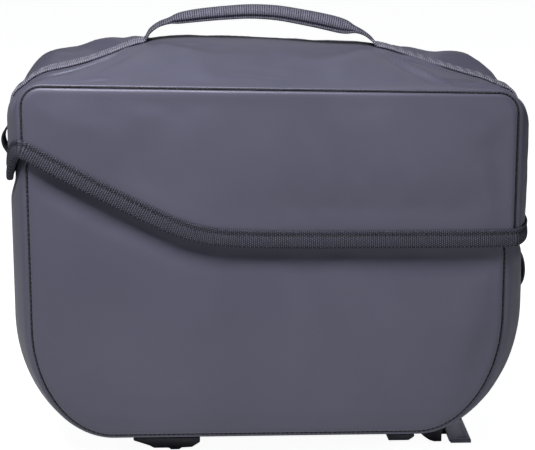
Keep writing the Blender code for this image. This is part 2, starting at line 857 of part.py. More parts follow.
def runner_mesh():
    top = plate_bottom() - GAP
    outline = [
        (RUNNER_FROM + RUNNER_LENGTH * place, top * (1 - drop)) for place, drop in RUNNER_SHARES
    ]
    return prism_mesh(outline, -PLATE_WIDTH / 2, -PLATE_WIDTH / 2 + RUNNER_WIDTH)


def pad_mesh():
    top = plate_bottom() - GAP
    outline = [(PAD_FROM + PAD_LENGTH * place, top - PAD_DROP * drop) for place, drop in PAD_SHARES]
    return prism_mesh(outline, -PLATE_WIDTH / 2, -PLATE_WIDTH / 2 + RUNNER_WIDTH)


# Fixed foot that carries the lever's pin in two lugs
def housing_object(material):
    top = plate_bottom() - GAP
    shelf = PLATE_TO + GAP
    raised = LOWER_BOTTOM - GAP
    length = HOUSING_TO - HOUSING_FROM
    outline = [(HOUSING_FROM + length * place, top * height) for place, height in HOUSING_SHARES]
    outline += [(HOUSING_TO, 0.0), (HOUSING_TO, raised), (shelf, raised), (shelf, top)]
    work = prism_mesh(outline, -HOUSING_WIDTH / 2, HOUSING_WIDTH / 2)
    housing = add_object("lever_housing", work, material)
    reach = PIVOT[0]
    lug_low = PIVOT[1] - PIN_BORE - LUG_REACH / 2
    for side in (-1, 1):
        lug_outline = [
            (HOUSING_TO - LUG_REACH, lug_low),
            (reach, lug_low),
            (reach + PIN_BORE + LUG_REACH / 2, PIVOT[1]),
            (reach, PIVOT[1] + PIN_BORE + LUG_REACH / 2),
            (HOUSING_TO - LUG_REACH, PIVOT[1] + PIN_BORE + LUG_REACH / 2),
        ]
        outside = side * HOUSING_WIDTH / 2
        inside = side * (HOUSING_WIDTH / 2 - LUG_WIDTH)
        lug = add_object(
            "lug_left" if side < 0 else "lug_right",
            prism_mesh(lug_outline, inside - side * GAP, outside - side * GAP),
            material,
        )
        add_boolean(housing, lug, "UNION")
    bore = pin_object("housing_bore", PIN_BORE, HOUSING_WIDTH, material)
    add_boolean(housing, bore)
    return housing


def pin_object(name, radius, length, material):
    outline = arc(PIVOT, (radius, radius), 0, 360, 16)
    return add_object(name, prism_mesh(outline, -length / 2, length / 2), material)


def lever_outline():
    return [
        (PIVOT[0] - LEVER_NOSE_BACK, PIVOT[1] + LEVER_NOSE_RISE),
        (PIVOT[0] - LEVER_HEEL_BACK, PIVOT[1] - LEVER_HEEL_DROP),
        (PIVOT[0] - LEVER_FOOT_BACK, LEVER_FLOOR_GAP),
        (LEVER_TOE, LEVER_FLOOR_GAP),
        (LEVER_TOE, LEVER_FLOOR_GAP + LEVER_LIP_HEIGHT),
        (PIVOT[0] + LEVER_CREST_TO, LEVER_TOP),
        (PIVOT[0] + LEVER_CREST_FROM, LEVER_TOP),
    ]


# Release lever: a wedge cap, hollow and open towards the bag, with a lip along its foot
def lever_object(material):
    work = prism_mesh(lever_outline(), -LEVER_WIDTH / 2, LEVER_WIDTH / 2)
    lever = add_object("release_lever", work, material)
    lip_outline = [
        (PIVOT[0] - LEVER_FOOT_BACK, LEVER_FLOOR_GAP),
        (LEVER_TOE + LEVER_LIP, LEVER_FLOOR_GAP),
        (LEVER_TOE + LEVER_LIP, LEVER_FLOOR_GAP + LEVER_LIP_HEIGHT),
        (PIVOT[0] - LEVER_FOOT_BACK, LEVER_FLOOR_GAP + LEVER_LIP_HEIGHT),
    ]
    lip_side = LEVER_WIDTH / 2 + LEVER_LIP
    lip = add_object("lever_lip", prism_mesh(lip_outline, -lip_side, lip_side), material)
    add_boolean(lever, lip, "UNION")
    inside = LEVER_WIDTH / 2 - LEVER_WALL
    hollow_outline = [
        (PIVOT[0] - LEVER_HOLLOW_BACK, LEVER_FLOOR_GAP + LEVER_WALL),
        (LEVER_TOE - LEVER_WALL, LEVER_FLOOR_GAP + LEVER_WALL),
        (PIVOT[0] + LEVER_CREST_TO - LEVER_WALL, LEVER_TOP + LEVER_HOLLOW_OVER),
        (PIVOT[0] - LEVER_HOLLOW_BACK, LEVER_TOP + LEVER_HOLLOW_OVER),
    ]
    hollow = add_object("lever_hollow", prism_mesh(hollow_outline, -inside, inside), material)
    add_boolean(lever, hollow)
    recess_from = PIVOT[0] + PIN_BORE + RECESS_FROM_BORE
    recess_low = LEVER_FLOOR_GAP + LEVER_LIP_HEIGHT + RECESS_MARGIN
    recess_high = LEVER_TOP - RECESS_CREST_DROP
    recess_outline = [
        (recess_from, recess_low),
        (LEVER_TOE - LEVER_WALL, recess_low),
        (PIVOT[0] + LEVER_CREST_TO - LEVER_RECESS, recess_high),
        (recess_from, recess_high),
    ]
    outside = LEVER_WIDTH / 2
    for side, name in ((-1, "recess_front"), (1, "recess_back")):
        work = prism_mesh(recess_outline, side * (outside - LEVER_RECESS), side * (outside + LEVER_RECESS))
        add_boolean(lever, add_object(name, work, material))
    add_boolean(lever, pin_object("lever_bore", PIN_BORE, pin_seat_length(), material))
    return lever


# The pin's holes stop inside the lever's side walls
def pin_seat_length():
    return LEVER_WIDTH - 2 * PIN_SEAT_SHARE * LEVER_WALL


def panel_middle(shares, length, low, high):
    return (shares[0] * length, low + shares[1] * (high - low))


def place_on_axis(obj):
    pivot = Vector((PIVOT[0], 0, PIVOT[1]))
    for vertex in obj.data.vertices:
        vertex.co -= pivot
    obj.location = pivot


def main():
    clear_scene()
    fabric = principled("coated_fabric", (0.085, 0.085, 0.115), 0.55)
    binding = principled("binding_webbing", (0.045, 0.045, 0.055), 0.8)
    strap = principled("strap_webbing", (0.050, 0.050, 0.062), 0.8)
    loop = principled("loop_webbing", (0.012, 0.012, 0.016), 0.85)
    black = principled("black_plastic", (0.020, 0.021, 0.030), 0.45)
    grey = principled("grey_plastic", (0.065, 0.065, 0.080), 0.4)
    steel = principled("pin_steel", (0.45, 0.45, 0.46), 0.35, 1.0)

    inside = Vector((0, 0, HOOD_TOP / 2))
    grid = lower_grid()
    add_object("lower_gusset", shell_from_grid(grid, grid_normals(grid, inside), LOWER_WALL), fabric)
    middle = panel_middle(LOWER_MIDDLE_SHARES, LOWER_LENGTH, LOWER_BOTTOM, EDGE_LEVEL)
    work = panel_mesh(lower_panel_outline(), middle, lower_panel_depth, LOWER_PANEL_WALL)
    lower_front = add_object("lower_front_panel", work, fabric)
    mirrored_copy(lower_front, "lower_back_panel", fabric)

    grid = hood_grid()
    add_object("hood_gusset", shell_from_grid(grid, grid_normals(grid, inside), HOOD_WALL), fabric)
    middle = panel_middle(HOOD_MIDDLE_SHARES, HOOD_LENGTH, EDGE_LEVEL, HOOD_TOP)
    work = panel_mesh(hood_panel_outline(), middle, hood_panel_depth, HOOD_WALL)
    hood_front = add_object("hood_front_panel", work, fabric)
    mirrored_copy(hood_front, "hood_back_panel", fabric)

    add_object("hood_binding", binding_mesh(), binding)
    add_object("carry_strap", strap_mesh(), strap)
    work = end_loop_mesh(-1, pull_loop_foot(), PULL_LOOP_HEIGHT, hood_end_seat)
    add_object("pull_loop", work, loop)
    work = end_loop_mesh(1, EDGE_LEVEL - LIGHT_LOOP_DROP, LIGHT_LOOP_HEIGHT, lower_end_seat)
    add_object("light_loop", work, loop)
    add_object("closure_patch", patch_mesh(), loop)

    plate_object(black)
    runner = add_object("front_runner", runner_mesh(), black)
    mirrored_copy(runner, "back_runner", black)
    pad = add_object("front_pad", pad_mesh(), black)
    mirrored_copy(pad, "back_pad", black)
    housing_object(black)
    pin_object("lever_pin", PIN_RADIUS, pin_seat_length() - 2 * GAP, steel)
    lever = lever_object(grey)
    place_on_axis(lever)


main()
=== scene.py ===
import math

import bmesh
import bpy
import numpy as np
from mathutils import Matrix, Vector, geometry, kdtree


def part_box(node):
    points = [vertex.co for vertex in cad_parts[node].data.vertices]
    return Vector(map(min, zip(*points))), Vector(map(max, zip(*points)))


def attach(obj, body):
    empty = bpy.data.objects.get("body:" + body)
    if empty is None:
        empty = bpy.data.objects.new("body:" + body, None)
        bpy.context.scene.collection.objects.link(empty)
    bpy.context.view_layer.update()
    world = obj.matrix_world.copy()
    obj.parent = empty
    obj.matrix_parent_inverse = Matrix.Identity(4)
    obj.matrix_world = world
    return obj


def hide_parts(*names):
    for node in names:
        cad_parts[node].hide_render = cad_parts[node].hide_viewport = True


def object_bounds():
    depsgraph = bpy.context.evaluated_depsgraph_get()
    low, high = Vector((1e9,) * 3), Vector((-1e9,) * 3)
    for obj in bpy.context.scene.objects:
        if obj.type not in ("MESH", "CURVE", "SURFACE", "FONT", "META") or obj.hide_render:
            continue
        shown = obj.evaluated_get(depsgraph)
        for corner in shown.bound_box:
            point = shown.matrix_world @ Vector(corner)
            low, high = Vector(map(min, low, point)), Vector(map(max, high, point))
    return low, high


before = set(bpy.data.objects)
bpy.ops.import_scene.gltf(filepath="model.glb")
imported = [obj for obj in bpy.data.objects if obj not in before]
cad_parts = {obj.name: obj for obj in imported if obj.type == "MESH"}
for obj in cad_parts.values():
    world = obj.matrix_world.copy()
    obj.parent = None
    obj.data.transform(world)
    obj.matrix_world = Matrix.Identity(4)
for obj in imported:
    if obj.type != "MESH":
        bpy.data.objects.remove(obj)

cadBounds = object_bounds()
mm = 0.001

# Sizes that the frame gives: half lengths, seam planes and heights
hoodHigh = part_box("hood_gusset")[1]
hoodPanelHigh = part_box("hood_front_panel")[1]
lowerLow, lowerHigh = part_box("lower_gusset")
lowerPanelLow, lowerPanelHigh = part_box("lower_front_panel")
strapLow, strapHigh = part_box("carry_strap")

hoodForm = {
    "halfLength": hoodHigh[0],
    "seamHalf": hoodPanelHigh[0],
    "halfDepth": 97 * mm,       # seam plane of the front and back panels
    "fall": 6.5 * mm,           # drop of the top from left to right
    "topRadius": 32 * mm,
    "seamRadius": 16 * mm,
    "panelCrown": 3.3 * mm,
    "crown": 23 * mm,
    "crownRound": 0.06,         # rounds the crown's corners, as a share of the half length
    "pull": 1.2 * mm,           # how far the strap's anchors lift the top
    "pullLength": 18 * mm,
    "pullWidth": 24 * mm,
    "strapFade": 5.5 * mm,      # folds run out over this stretch beside the strap
    "seamFade": 14 * mm,        # and over this one before the seams
    "wall": 2 * mm,
}
hoodForm["top"] = hoodPanelHigh[2] - hoodForm["fall"] / 2

edgeForm = {
    "level": 168.5 * mm,
    "slope": 0.55,
    "knee": -56 * mm,
    "kneeRound": 12 * mm,
    "flapDrop": 23 * mm,
    "flapRound": 34 * mm,
}

lowerForm = {
    "halfLength": lowerHigh[0],
    "seamHalf": (lowerPanelHigh[0] - lowerPanelLow[0]) / 2,
    "shift": (lowerPanelHigh[0] + lowerPanelLow[0]) / 2,    # seams lie a little to the left
    "halfDepth": 92 * mm,
    "bottom": lowerLow[2],
    "seamBottom": lowerPanelLow[2] - 2.2 * mm,      # a little lower than the solid's seam
    "leftCorner": (76 * mm, 94 * mm),
    "rightCorner": (78 * mm, 100 * mm),
    "leftSeamCorner": (60 * mm, 85 * mm),
    "rightSeamCorner": (64 * mm, 92 * mm),
    "panelCrown": 3.8 * mm,
    "belly": 2 * mm,
    "tuck": 4.5 * mm,           # how far the panels draw in under the hood's edge
    "tuckLength": 30 * mm,
    "taper": 3.7 * mm,
    "taperLength": 18 * mm,
    "overlap": 14 * mm,
    "seamOverlap": 9 * mm,      # the seams run straight a little further up than the ends do
    "wall": 2 * mm,
}

strapForm = {
    "width": 25 * mm,
    "wall": 2 * mm,
    "gripWidth": 19 * mm,
    "gripHeight": 10.5 * mm,
    "gripGrowth": 2.2,     # the grip gets thicker to the right, by this share a metre
    "handleTop": strapHigh[2],
    "leftAnchor": -92 * mm,
    "rightAnchor": 84 * mm,
    "leftEnd": hoodPanelHigh[2] - 28 * mm,
    "rightEnd": strapLow[2],
    "ribPitch": 1.4 * mm,
    "ribHeight": 0.22 * mm,
}

# A sewn seam: a narrow groove with a soft ridge on both sides, and thread at its bottom
seamForm = {
    "depth": 2.9 * mm,
    "width": 1.45 * mm,
    "sharpness": 1.6,
    "ridge": 0.45 * mm,
    "ridgePlace": 5.2 * mm,
    "ridgeWidth": 3.4 * mm,
    "roll": 35 * mm,
    "threadRadius": 0.75 * mm,
    "threadDepth": 1.9 * mm,
    "hoodStitch": (3.6 * mm, -0.5 * mm),
    "lowerStitch": (3.2 * mm, 0.35 * mm),
}


# Small maths

def smoothStep(value):
    value = np.clip(value, 0.0, 1.0)
    return value * value * (3 - 2 * value)


def ramp(start, end, steps):
    return start + (end - start) * np.arange(steps) / steps


def arcPoints(centre, radii, start, end, steps):
    angle = np.radians(ramp(start, end, steps))
    return np.column_stack((centre[0] + radii[0] * np.cos(angle), centre[1] + radii[1] * np.sin(angle)))


def straight(x0, z0, x1, z1, steps):
    return np.column_stack((ramp(x0, x1, steps), ramp(z0, z1, steps)))


# Length along a line of points, from its start
def runLength(points):
    steps = np.linalg.norm(np.diff(points, axis=0), axis=1)
    return np.concatenate(([0], np.cumsum(steps)))


# Unit normals on the left of a line
def leftNormals(line):
    away = np.gradient(line, axis=0)
    away /= np.linalg.norm(away, axis=1)[:, None]
    return np.column_stack((-away[:, 1], away[:, 0]))


def interpRows(at, places, rows):
    return np.array([np.interp(at, places, column) for column in rows.T]).T


# Points of a path in X and Z, at one place across the bag
def atDepth(path, y):
    return np.column_stack((path[:, 0], np.full(len(path), y), path[:, 1]))


# Bag's form, in the same frame as the solids

def edgeHeight(x):
    before = edgeForm["knee"] - x
    rise = 0.5 * (before + np.hypot(before, 2 * edgeForm["kneeRound"]))
    return edgeForm["level"] + edgeForm["slope"] * rise


def flapHeight(y):
    share = smoothStep((hoodForm["halfDepth"] - np.abs(y)) / edgeForm["flapRound"])
    return edgeHeight(-hoodForm["seamHalf"]) - edgeForm["flapDrop"] * share


crownTable = [
    (-1.00, -0.24), (-0.93, -0.22), (-0.86, -0.14), (-0.76, 0.02), (-0.65, 0.32), (-0.48, 0.85),
    (-0.32, 1.00), (0.00, 0.97), (0.22, 0.86), (0.43, 0.82), (0.55, 0.54), (0.70, 0.18),
    (0.80, -0.07), (0.88, -0.23), (0.95, -0.33), (1.00, -0.33),
]

# Tension folds of the top: start x, y, end x, y in mm, height and width in mm, and curve sideways
foldTable = [
    (-108, -82, -176, -77, 2.6, 3.6, 0),
    (-98, -17, -160, -62, 1.6, 8, 5),
    (-93, -17.2, -178, -17.6, 2.8, 1.9, 0),
    (88, -20, 128, -78, 3.8, 3.0, -5),
    (120, -74, 178, -79, 3.4, 2.6, 2),
    (104, -26, 174, -60, -3.0, 6, 5),
    (94, -22, 168, -58, 2.8, 5, 8),
    (-84, 62, -196, 52, 6.2, 32, 0),
    (106, 60, 300, 56, 6.8, 22, 0),
    (88, -18, 172, -20, -1.8, 4.0, 0),
    (-84, -18, -40, -84, 2.6, 15, 0),
    (20, -88, -60, -82, 1.3, 7, 0),
    (76, -18, 48, -84, 2.4, 16, 0),
    (-98, 16, -152, 78, 2.6, 9, -4),
    (-112, 82, -172, 76, 1.6, 4, 0),
    (90, 16, 126, 76, 2.8, 9, 6),
    (93, 14, 164, 68, 2.2, 8, -7),
]


def foldHeight(x, y):
    total = np.zeros_like(x)
    for x0, y0, x1, y1, height, width, curve in foldTable:
        start = np.array((x0, y0)) * mm
        way = np.array((x1 - x0, y1 - y0)) * mm
        length = np.hypot(*way)
        along = ((x - start[0]) * way[0] + (y - start[1]) * way[1]) / length ** 2
        aside = ((y - start[1]) * way[0] - (x - start[0]) * way[1]) / length
        aside = aside - curve * mm * np.sin(np.clip(along, 0, 1) * math.pi)
        ends = smoothStep(along * 5) * smoothStep((1.15 - along) * 2.2)
        spread = width * mm * (0.55 + 0.75 * np.clip(along, 0, 1))
        ridge = np.exp(-(aside / spread) ** 2)
        hollow = 0.55 * np.exp(-((aside - 1.7 * spread) / spread) ** 2)
        hollow += 0.45 * np.exp(-((aside + 1.8 * spread) / spread) ** 2)
        total += height * mm * ends * (ridge - hollow)
    return total


def topCrown(x, y):
    across = np.maximum(0, 1 - (np.abs(y) / (0.95 * hoodForm["halfDepth"])) ** 2.2)
    places, values = np.array(crownTable).T
    steps = hoodForm["crownRound"] * np.linspace(-1, 1, 5)
    share = np.mean([np.interp(x / hoodForm["halfLength"] + step, places, values) for step in steps], axis=0)
    height = hoodForm["crown"] * share * across
    for anchor in (strapForm["leftAnchor"], strapForm["rightAnchor"]):
        along = (x - anchor) / hoodForm["pullLength"]
        aside = np.maximum(0, np.abs(y) - strapForm["width"] / 2) / hoodForm["pullWidth"]
        height = height + hoodForm["pull"] * np.exp(-along ** 2 / 2 - 2 * aside ** 2)
    besideStrap = smoothStep((np.abs(y) - 0.52 * strapForm["width"]) / hoodForm["strapFade"])
    nearSeam = smoothStep((hoodForm["halfDepth"] - np.abs(y)) / hoodForm["seamFade"])
    return height + foldHeight(x, y) * besideStrap * nearSeam


# The crown takes effect on the top alone, and runs out down the rounded ends
def onTop(z):
    radius = hoodForm["topRadius"]
    return smoothStep((z - hoodForm["top"] + 0.6 * radius) / (0.5 * radius))


def hoodPath(half, radius, leftZ, rightZ):
    inner = half - radius
    leftTop = hoodForm["top"] + hoodForm["fall"] / 2
    rightTop = hoodForm["top"] - hoodForm["fall"] / 2
    return np.vstack((
        straight(-half, leftZ, -half, leftTop - radius, 18),
        arcPoints((-inner, leftTop - radius), (radius, radius), 180, 90, 18),
        straight(-inner, leftTop, inner, rightTop, 130),
        arcPoints((inner, rightTop - radius), (radius, radius), 90, 0, 18),
        straight(half, rightTop - radius, half, rightZ, 30),
        [(half, rightZ)],
    ))


# The lower body draws in a little where the hood covers it
def lowerPath(half, bottom, leftCorner, rightCorner, leftZ, rightZ, shift, y):
    leftSide = bottom + leftCorner[1]
    rightSide = bottom + rightCorner[1]
    path = np.vstack((
        straight(-half, leftZ, -half, leftSide, 46),
        arcPoints((-half + leftCorner[0], leftSide), leftCorner, 180, 270, 42),
        straight(-half + leftCorner[0], bottom, half - rightCorner[0], bottom, 70),
        arcPoints((half - rightCorner[0], rightSide), rightCorner, 270, 360, 44),
        straight(half, rightSide, half, rightZ, 22),
        [(half, rightZ)],
    ))
    covered = np.where(path[:, 0] < 0, flapHeight(y), edgeForm["level"])
    covered = covered + lowerForm["seamOverlap"] * (abs(y) / lowerForm["halfDepth"]) ** 12
    share = smoothStep((path[:, 1] - covered + lowerForm["taperLength"]) / lowerForm["taperLength"])
    path[:, 0] += shift * (1 - share) - np.sign(path[:, 0]) * lowerForm["taper"] * share
    return path


def hoodPathsAt(y):
    left = float(flapHeight(y))
    right = float(edgeHeight(hoodForm["seamHalf"]))
    return (
        hoodPath(hoodForm["halfLength"], hoodForm["topRadius"], left, right),
        hoodPath(hoodForm["seamHalf"], hoodForm["seamRadius"], left, right),
    )


# Rim ends stand over the place where the seam really ends, so that the rim's line meets them
def lowerPathsAt(y):
    seamHalf = lowerForm["seamHalf"]
    endPlace = seamHalf - lowerForm["taper"]
    left = float(edgeHeight(-endPlace)) + lowerForm["overlap"]
    right = float(edgeHeight(endPlace)) + lowerForm["overlap"]
    return (
        lowerPath(lowerForm["halfLength"], lowerForm["bottom"], lowerForm["leftCorner"],
                  lowerForm["rightCorner"], left, right, 0.0, y),
        lowerPath(seamHalf, lowerForm["seamBottom"], lowerForm["leftSeamCorner"],
                  lowerForm["rightSeamCorner"], left, right, lowerForm["shift"], y),
    )


def distanceToPath(points, path):
    nearest = np.full(len(points), 1.0)
    for start, end in zip(path[:-1], path[1:]):
        way = end - start
        share = np.clip(((points - start) @ way) / (way @ way), 0, 1)
        gap = points - start - share[:, None] * way
        nearest = np.minimum(nearest, np.hypot(gap[:, 0], gap[:, 1]))
    return nearest


# How far a seam draws the cloth in, diagonally, at a distance from it
def seamDraw(distance):
    return 0.7 * seamForm["depth"] * np.exp(-(distance / seamForm["width"]) ** seamForm["sharpness"])


def seamRidge(distance):
    away = (distance - seamForm["ridgePlace"]) / seamForm["ridgeWidth"]
    return seamForm["ridge"] * np.exp(-away ** 2)


# Distance of each row of points from a seam, close together where the groove is
seamSteps = np.array([0, 0.35, 0.7, 1.1, 1.6, 2.3, 3.2, 4.5, 6.2, 8.5, 11.5]) * mm


def outwardNormals(path):
    normal = leftNormals(path)
    if (normal * (path - np.array((0, hoodForm["top"] / 2)))).sum() < 0:
        normal = -normal
    return normal


# The path at a place across the bag: full in the middle, and drawn in to the seams
def pathAcross(halfDepth, pathsAt, y):
    middle, seam = pathsAt(y)
    return seam + (middle - seam) * (1 - (abs(y) / halfDepth) ** 5)


def gussetGrid(halfDepth, pathsAt, spacing, fineRows=()):
    inner = halfDepth - seamSteps[-1]
    plain = np.linspace(-inner, inner, int(round(2 * inner / spacing)) + 1)
    if len(fineRows):
        apart = (np.abs(plain) < fineRows[0] - 1 * mm) | (np.abs(plain) > fineRows[-1] + 1 * mm)
        plain = np.sort(np.concatenate((plain[apart], fineRows, -fineRows)))
    border = halfDepth - seamSteps[:-1]
    grid = []
    for y in np.concatenate((-border, plain, border[::-1])):
        path = pathAcross(halfDepth, pathsAt, y)
        distance = halfDepth - abs(y)
        draw = seamDraw(distance)
        path = path + outwardNormals(path) * (seamRidge(distance) - draw)
        grid.append(atDepth(path, y - np.sign(y) * draw))
    return np.array(grid)


def hoodGrid():
    besideStrap = np.arange(11.5, 27, 1.1) * mm
    grid = gussetGrid(hoodForm["halfDepth"], hoodPathsAt, 2.3 * mm, besideStrap)
    x, y, z = grid[..., 0], grid[..., 1], grid[..., 2]
    grid[..., 2] = z + topCrown(x, y) * onTop(z)
    return grid


# Soft dents of the hood panels: centre x, z in mm, half sizes in mm, depth in mm, lean
dentTable = [
    (-78, 248, 15, 34, 1.5, 0.25),
    (-12, 262, 34, 16, 0.9, 0.0),
    (42, 244, 14, 30, 1.3, -0.2),
    (118, 252, 22, 20, 0.9, 0.2),
    (-138, 262, 16, 16, -0.8, 0.0),
    (60, 196, 60, 11, 0.8, 0.0),
]


def panelRoll(distance):
    return 1 - (1 - np.minimum(1, distance / seamForm["roll"])) ** 2


# The roll follows the seam as if its ends ran on down past the cut edge
def hoodDepth(x, z):
    seam = hoodPathsAt(hoodForm["halfDepth"])[1]
    seam = np.vstack(([(seam[0, 0], 0)], seam, [(seam[-1, 0], 0)]))
    distance = distanceToPath(np.column_stack((x, z)), seam)
    dent = np.zeros_like(x)
    for atX, atZ, wide, tall, depth, lean in dentTable:
        up = z - atZ * mm
        aside = (x - atX * mm - lean * up) / (wide * mm)
        dent += depth * mm * np.exp(-aside ** 2 - (up / (tall * mm)) ** 2)
    dent *= smoothStep((z - edgeHeight(x) - 18 * mm) / (12 * mm))
    depth = hoodForm["halfDepth"] + (hoodForm["panelCrown"] - dent) * panelRoll(distance)
    return depth, distance


def lowerDepth(x, z):
    seam = lowerPathsAt(lowerForm["halfDepth"])[1]
    distance = distanceToPath(np.column_stack((x, z)), seam)
    below = edgeHeight(x) - lowerForm["taperLength"] - z
    belly = lowerForm["belly"] * smoothStep(below / (3 * lowerForm["taperLength"]))
    tuck = lowerForm["tuck"] * smoothStep(1 - (edgeHeight(x) - z) / lowerForm["tuckLength"])
    depth = lowerForm["halfDepth"] + (lowerForm["panelCrown"] + belly - tuck) * panelRoll(distance)
    return depth, distance


# A panel's outline is its seam, closed along the slanting edge
def panelOutline(halfDepth, pathsAt, lift):
    seam = pathsAt(halfDepth)[1]
    x = np.linspace(seam[-1, 0], seam[0, 0], 130)[1:-1]
    return np.vstack((seam, np.column_stack((x, edgeHeight(x) + lift)))), seam


panelMesh = {"spacing": 3.6 * mm, "leastSlant": 0.3}


# Rings of points along the panel's outline, then triangles over the rest of it
def panelPoints(outline, seam, middle, depthAt, side):
    around = np.vstack((outline[-1:], outline, outline[:1]))
    normal = -outwardNormals(around)[1:-1]
    normal[:len(seam)] = -outwardNormals(seam)
    toMiddle = np.array(middle) - outline
    toMiddle /= np.linalg.norm(toMiddle, axis=1)[:, None]
    slant = np.maximum(panelMesh["leastSlant"], (toMiddle * normal).sum(axis=1))
    rings = np.array([outline + toMiddle * (step / slant)[:, None] for step in seamSteps])
    last = rings[-1]
    low, high = last.min(axis=0), last.max(axis=0)
    gridX, gridZ = np.meshgrid(np.arange(low[0], high[0], panelMesh["spacing"]),
                               np.arange(low[1], high[1], panelMesh["spacing"]))
    inside = np.column_stack((gridX.ravel(), gridZ.ravel()))
    loop = np.vstack((last, last[:1]))
    clear = distanceToPath(inside, loop) > 0.55 * panelMesh["spacing"]
    inside = inside[clear & insideOutline(inside, last)]
    given = [Vector(p) for p in np.vstack((last, inside)).tolist()]
    found = geometry.delaunay_2d_cdt(given, [], [list(range(len(last)))], 1, 1e-7)
    count = len(outline)
    base = (len(rings) - 1) * count
    flat = rings.reshape(-1, 2).tolist()
    place = {}
    for index, sources in enumerate(found[3]):
        border = [source for source in sources if source < count]
        if border:
            place[index] = base + border[0]
        else:
            place[index] = len(flat)
            flat.append(tuple(found[0][index]))
    faces = gridFaces(len(rings), count, closedColumns=True)
    faces += [tuple(place[index] for index in face) for face in found[2]]
    flat = np.array(flat)
    depth, distance = depthAt(flat[:, 0], flat[:, 1])
    draw = seamDraw(distance)
    ridge = seamRidge(distance)
    whole = np.zeros_like(flat)
    whole[:rings.shape[0] * count] = np.tile(normal, (rings.shape[0], 1))
    flat = flat + whole * draw[:, None]
    return np.column_stack((flat[:, 0], side * (depth - draw + ridge), flat[:, 1])), faces


def insideOutline(points, outline):
    inside = np.zeros(len(points), dtype=bool)
    for start, end in zip(outline, np.roll(outline, -1, axis=0)):
        if start[1] == end[1]:
            continue
        crosses = (start[1] > points[:, 1]) != (end[1] > points[:, 1])
        at = start[0] + (points[:, 1] - start[1]) * (end[0] - start[0]) / (end[1] - start[1])
        inside ^= crosses & (points[:, 0] < at)
    return inside


# Mesh makers

def readValues(items, key, size, kind=np.float32):
    values = np.empty(len(items) * size, dtype=kind)
    items.foreach_get(key, values)
    return values.reshape(-1, size)


def outwardFaces(mesh):
    work = bmesh.new()
    work.from_mesh(mesh)
    bmesh.ops.recalc_face_normals(work, faces=work.faces)
    work.to_mesh(mesh)
    work.free()


def placeObject(name, mesh, material, body, replaced):
    mesh.materials.append(material)
    mesh.shade_smooth()
    obj = bpy.data.objects.new(name, mesh)
    bpy.context.scene.collection.objects.link(obj)
    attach(obj, body)
    if replaced:
        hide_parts(replaced)
    return obj


def finishPiece(name, points, faces, material, replaced=None, uv=None):
    mesh = bpy.data.meshes.new(name)
    mesh.from_pydata(np.asarray(points).tolist(), [], faces)
    if uv is not None:
        layer = mesh.uv_layers.new(name="cloth")
        index = readValues(mesh.loops, "vertex_index", 1, np.int32).ravel()
        layer.data.foreach_set("uv", uv.reshape(-1, 2)[index].astype(np.float32).ravel())
    outwardFaces(mesh)
    return placeObject(name, mesh, material, "bag", replaced)


def gridFaces(rows, columns, closedRows=False, closedColumns=False):
    faces = []
    for r in range(rows if closedRows else rows - 1):
        for c in range(columns if closedColumns else columns - 1):
            r2, c2 = (r + 1) % rows, (c + 1) % columns
            faces.append((r * columns + c, r2 * columns + c, r2 * columns + c2, r * columns + c2))
    return faces


# Closed faces of a tube, with a cap at both ends
def tubeFaces(rows, columns):
    caps = [tuple(range(columns)), tuple((rows - 1) * columns + c for c in reversed(range(columns)))]
    return gridFaces(rows, columns, closedColumns=True) + caps


# Places along and across a strip, for each point of its grid
def gridPlaces(along, across):
    return np.stack(np.meshgrid(along, across, indexing="ij"), axis=2)


# Cloth: the hood and the lower body are blown up a little as closed bags of slack cloth, held at
# their seams, and the small swells and puckers that come of it are added to the panels

clothForm = {
    "voxel": 5 * mm,
    "frames": 20,
    "held": 7 * mm,         # width of the stretch beside a seam that stays in place
    "heldFade": 10 * mm,
    "edgeHeld": 10 * mm,    # further width that is held along the hood's edge and its flap
    "strapHeld": 15 * mm,
    "loopHeld": 16 * mm,
    "footHeld": 16 * mm,
    "topBand": 45 * mm,     # the strap holds this much of the hood, from its top down
    "endFrom": 160 * mm,    # and the loops hold the ends beyond this place
    "flapFrom": 150 * mm,
    "cap": 2.5 * mm,        # how far a point may move
    "panelGain": 0.22,
    "topGain": 0.4,
    "broadShare": 0.75,     # how much of the broad swelling is taken off, which the form holds
    "evenRounds": 120,      # rounds of smoothing that find the broad swelling
}

clothSettings = {
    "quality": 5,
    "mass": 0.2,
    "tension_stiffness": 12,
    "compression_stiffness": 12,
    "shear_stiffness": 6,
    "bending_stiffness": 1.0,
    "use_pressure": True,
    "uniform_pressure_force": 4.0,
    "shrink_min": -0.03,    # below zero the cloth is slack
    "shrink_max": -0.03,
    "vertex_group_mass": "held",
}


def bagRows(halfDepth, pathsAt, lift):
    rows = []
    for y in np.linspace(-halfDepth, halfDepth, 41):
        path = pathAcross(halfDepth, pathsAt, y)
        x = np.linspace(path[-1, 0], path[0, 0], 70)[1:-1]
        z = edgeHeight(x) + lift
        for end in (path[0], path[-1]):
            z = z + (end[1] - edgeHeight(end[0]) - lift) * np.exp(-np.abs(x - end[0]) / (25 * mm))
        rows.append(atDepth(np.vstack((path, np.column_stack((x, z)))), y))
    return np.array(rows)


def heldShare(points, halfDepth, seam, lift):
    x, y, z = points.T
    gaps = [
        np.hypot(halfDepth - np.abs(y), distanceToPath(points[:, [0, 2]], seam)),
        np.abs(z - edgeHeight(x) - lift) - clothForm["edgeHeld"],
        np.where(x < -clothForm["flapFrom"], z - flapHeight(y) - clothForm["edgeHeld"], 1.0),
        np.where(z > hoodForm["top"] - clothForm["topBand"], np.abs(y) - clothForm["strapHeld"], 1.0),
        np.where(np.abs(x) > clothForm["endFrom"], np.abs(y) - clothForm["loopHeld"], 1.0),
        z - lowerForm["bottom"] - clothForm["footHeld"],
    ]
    return 1 - smoothStep((np.min(gaps, axis=0) - clothForm["held"]) / clothForm["heldFade"])


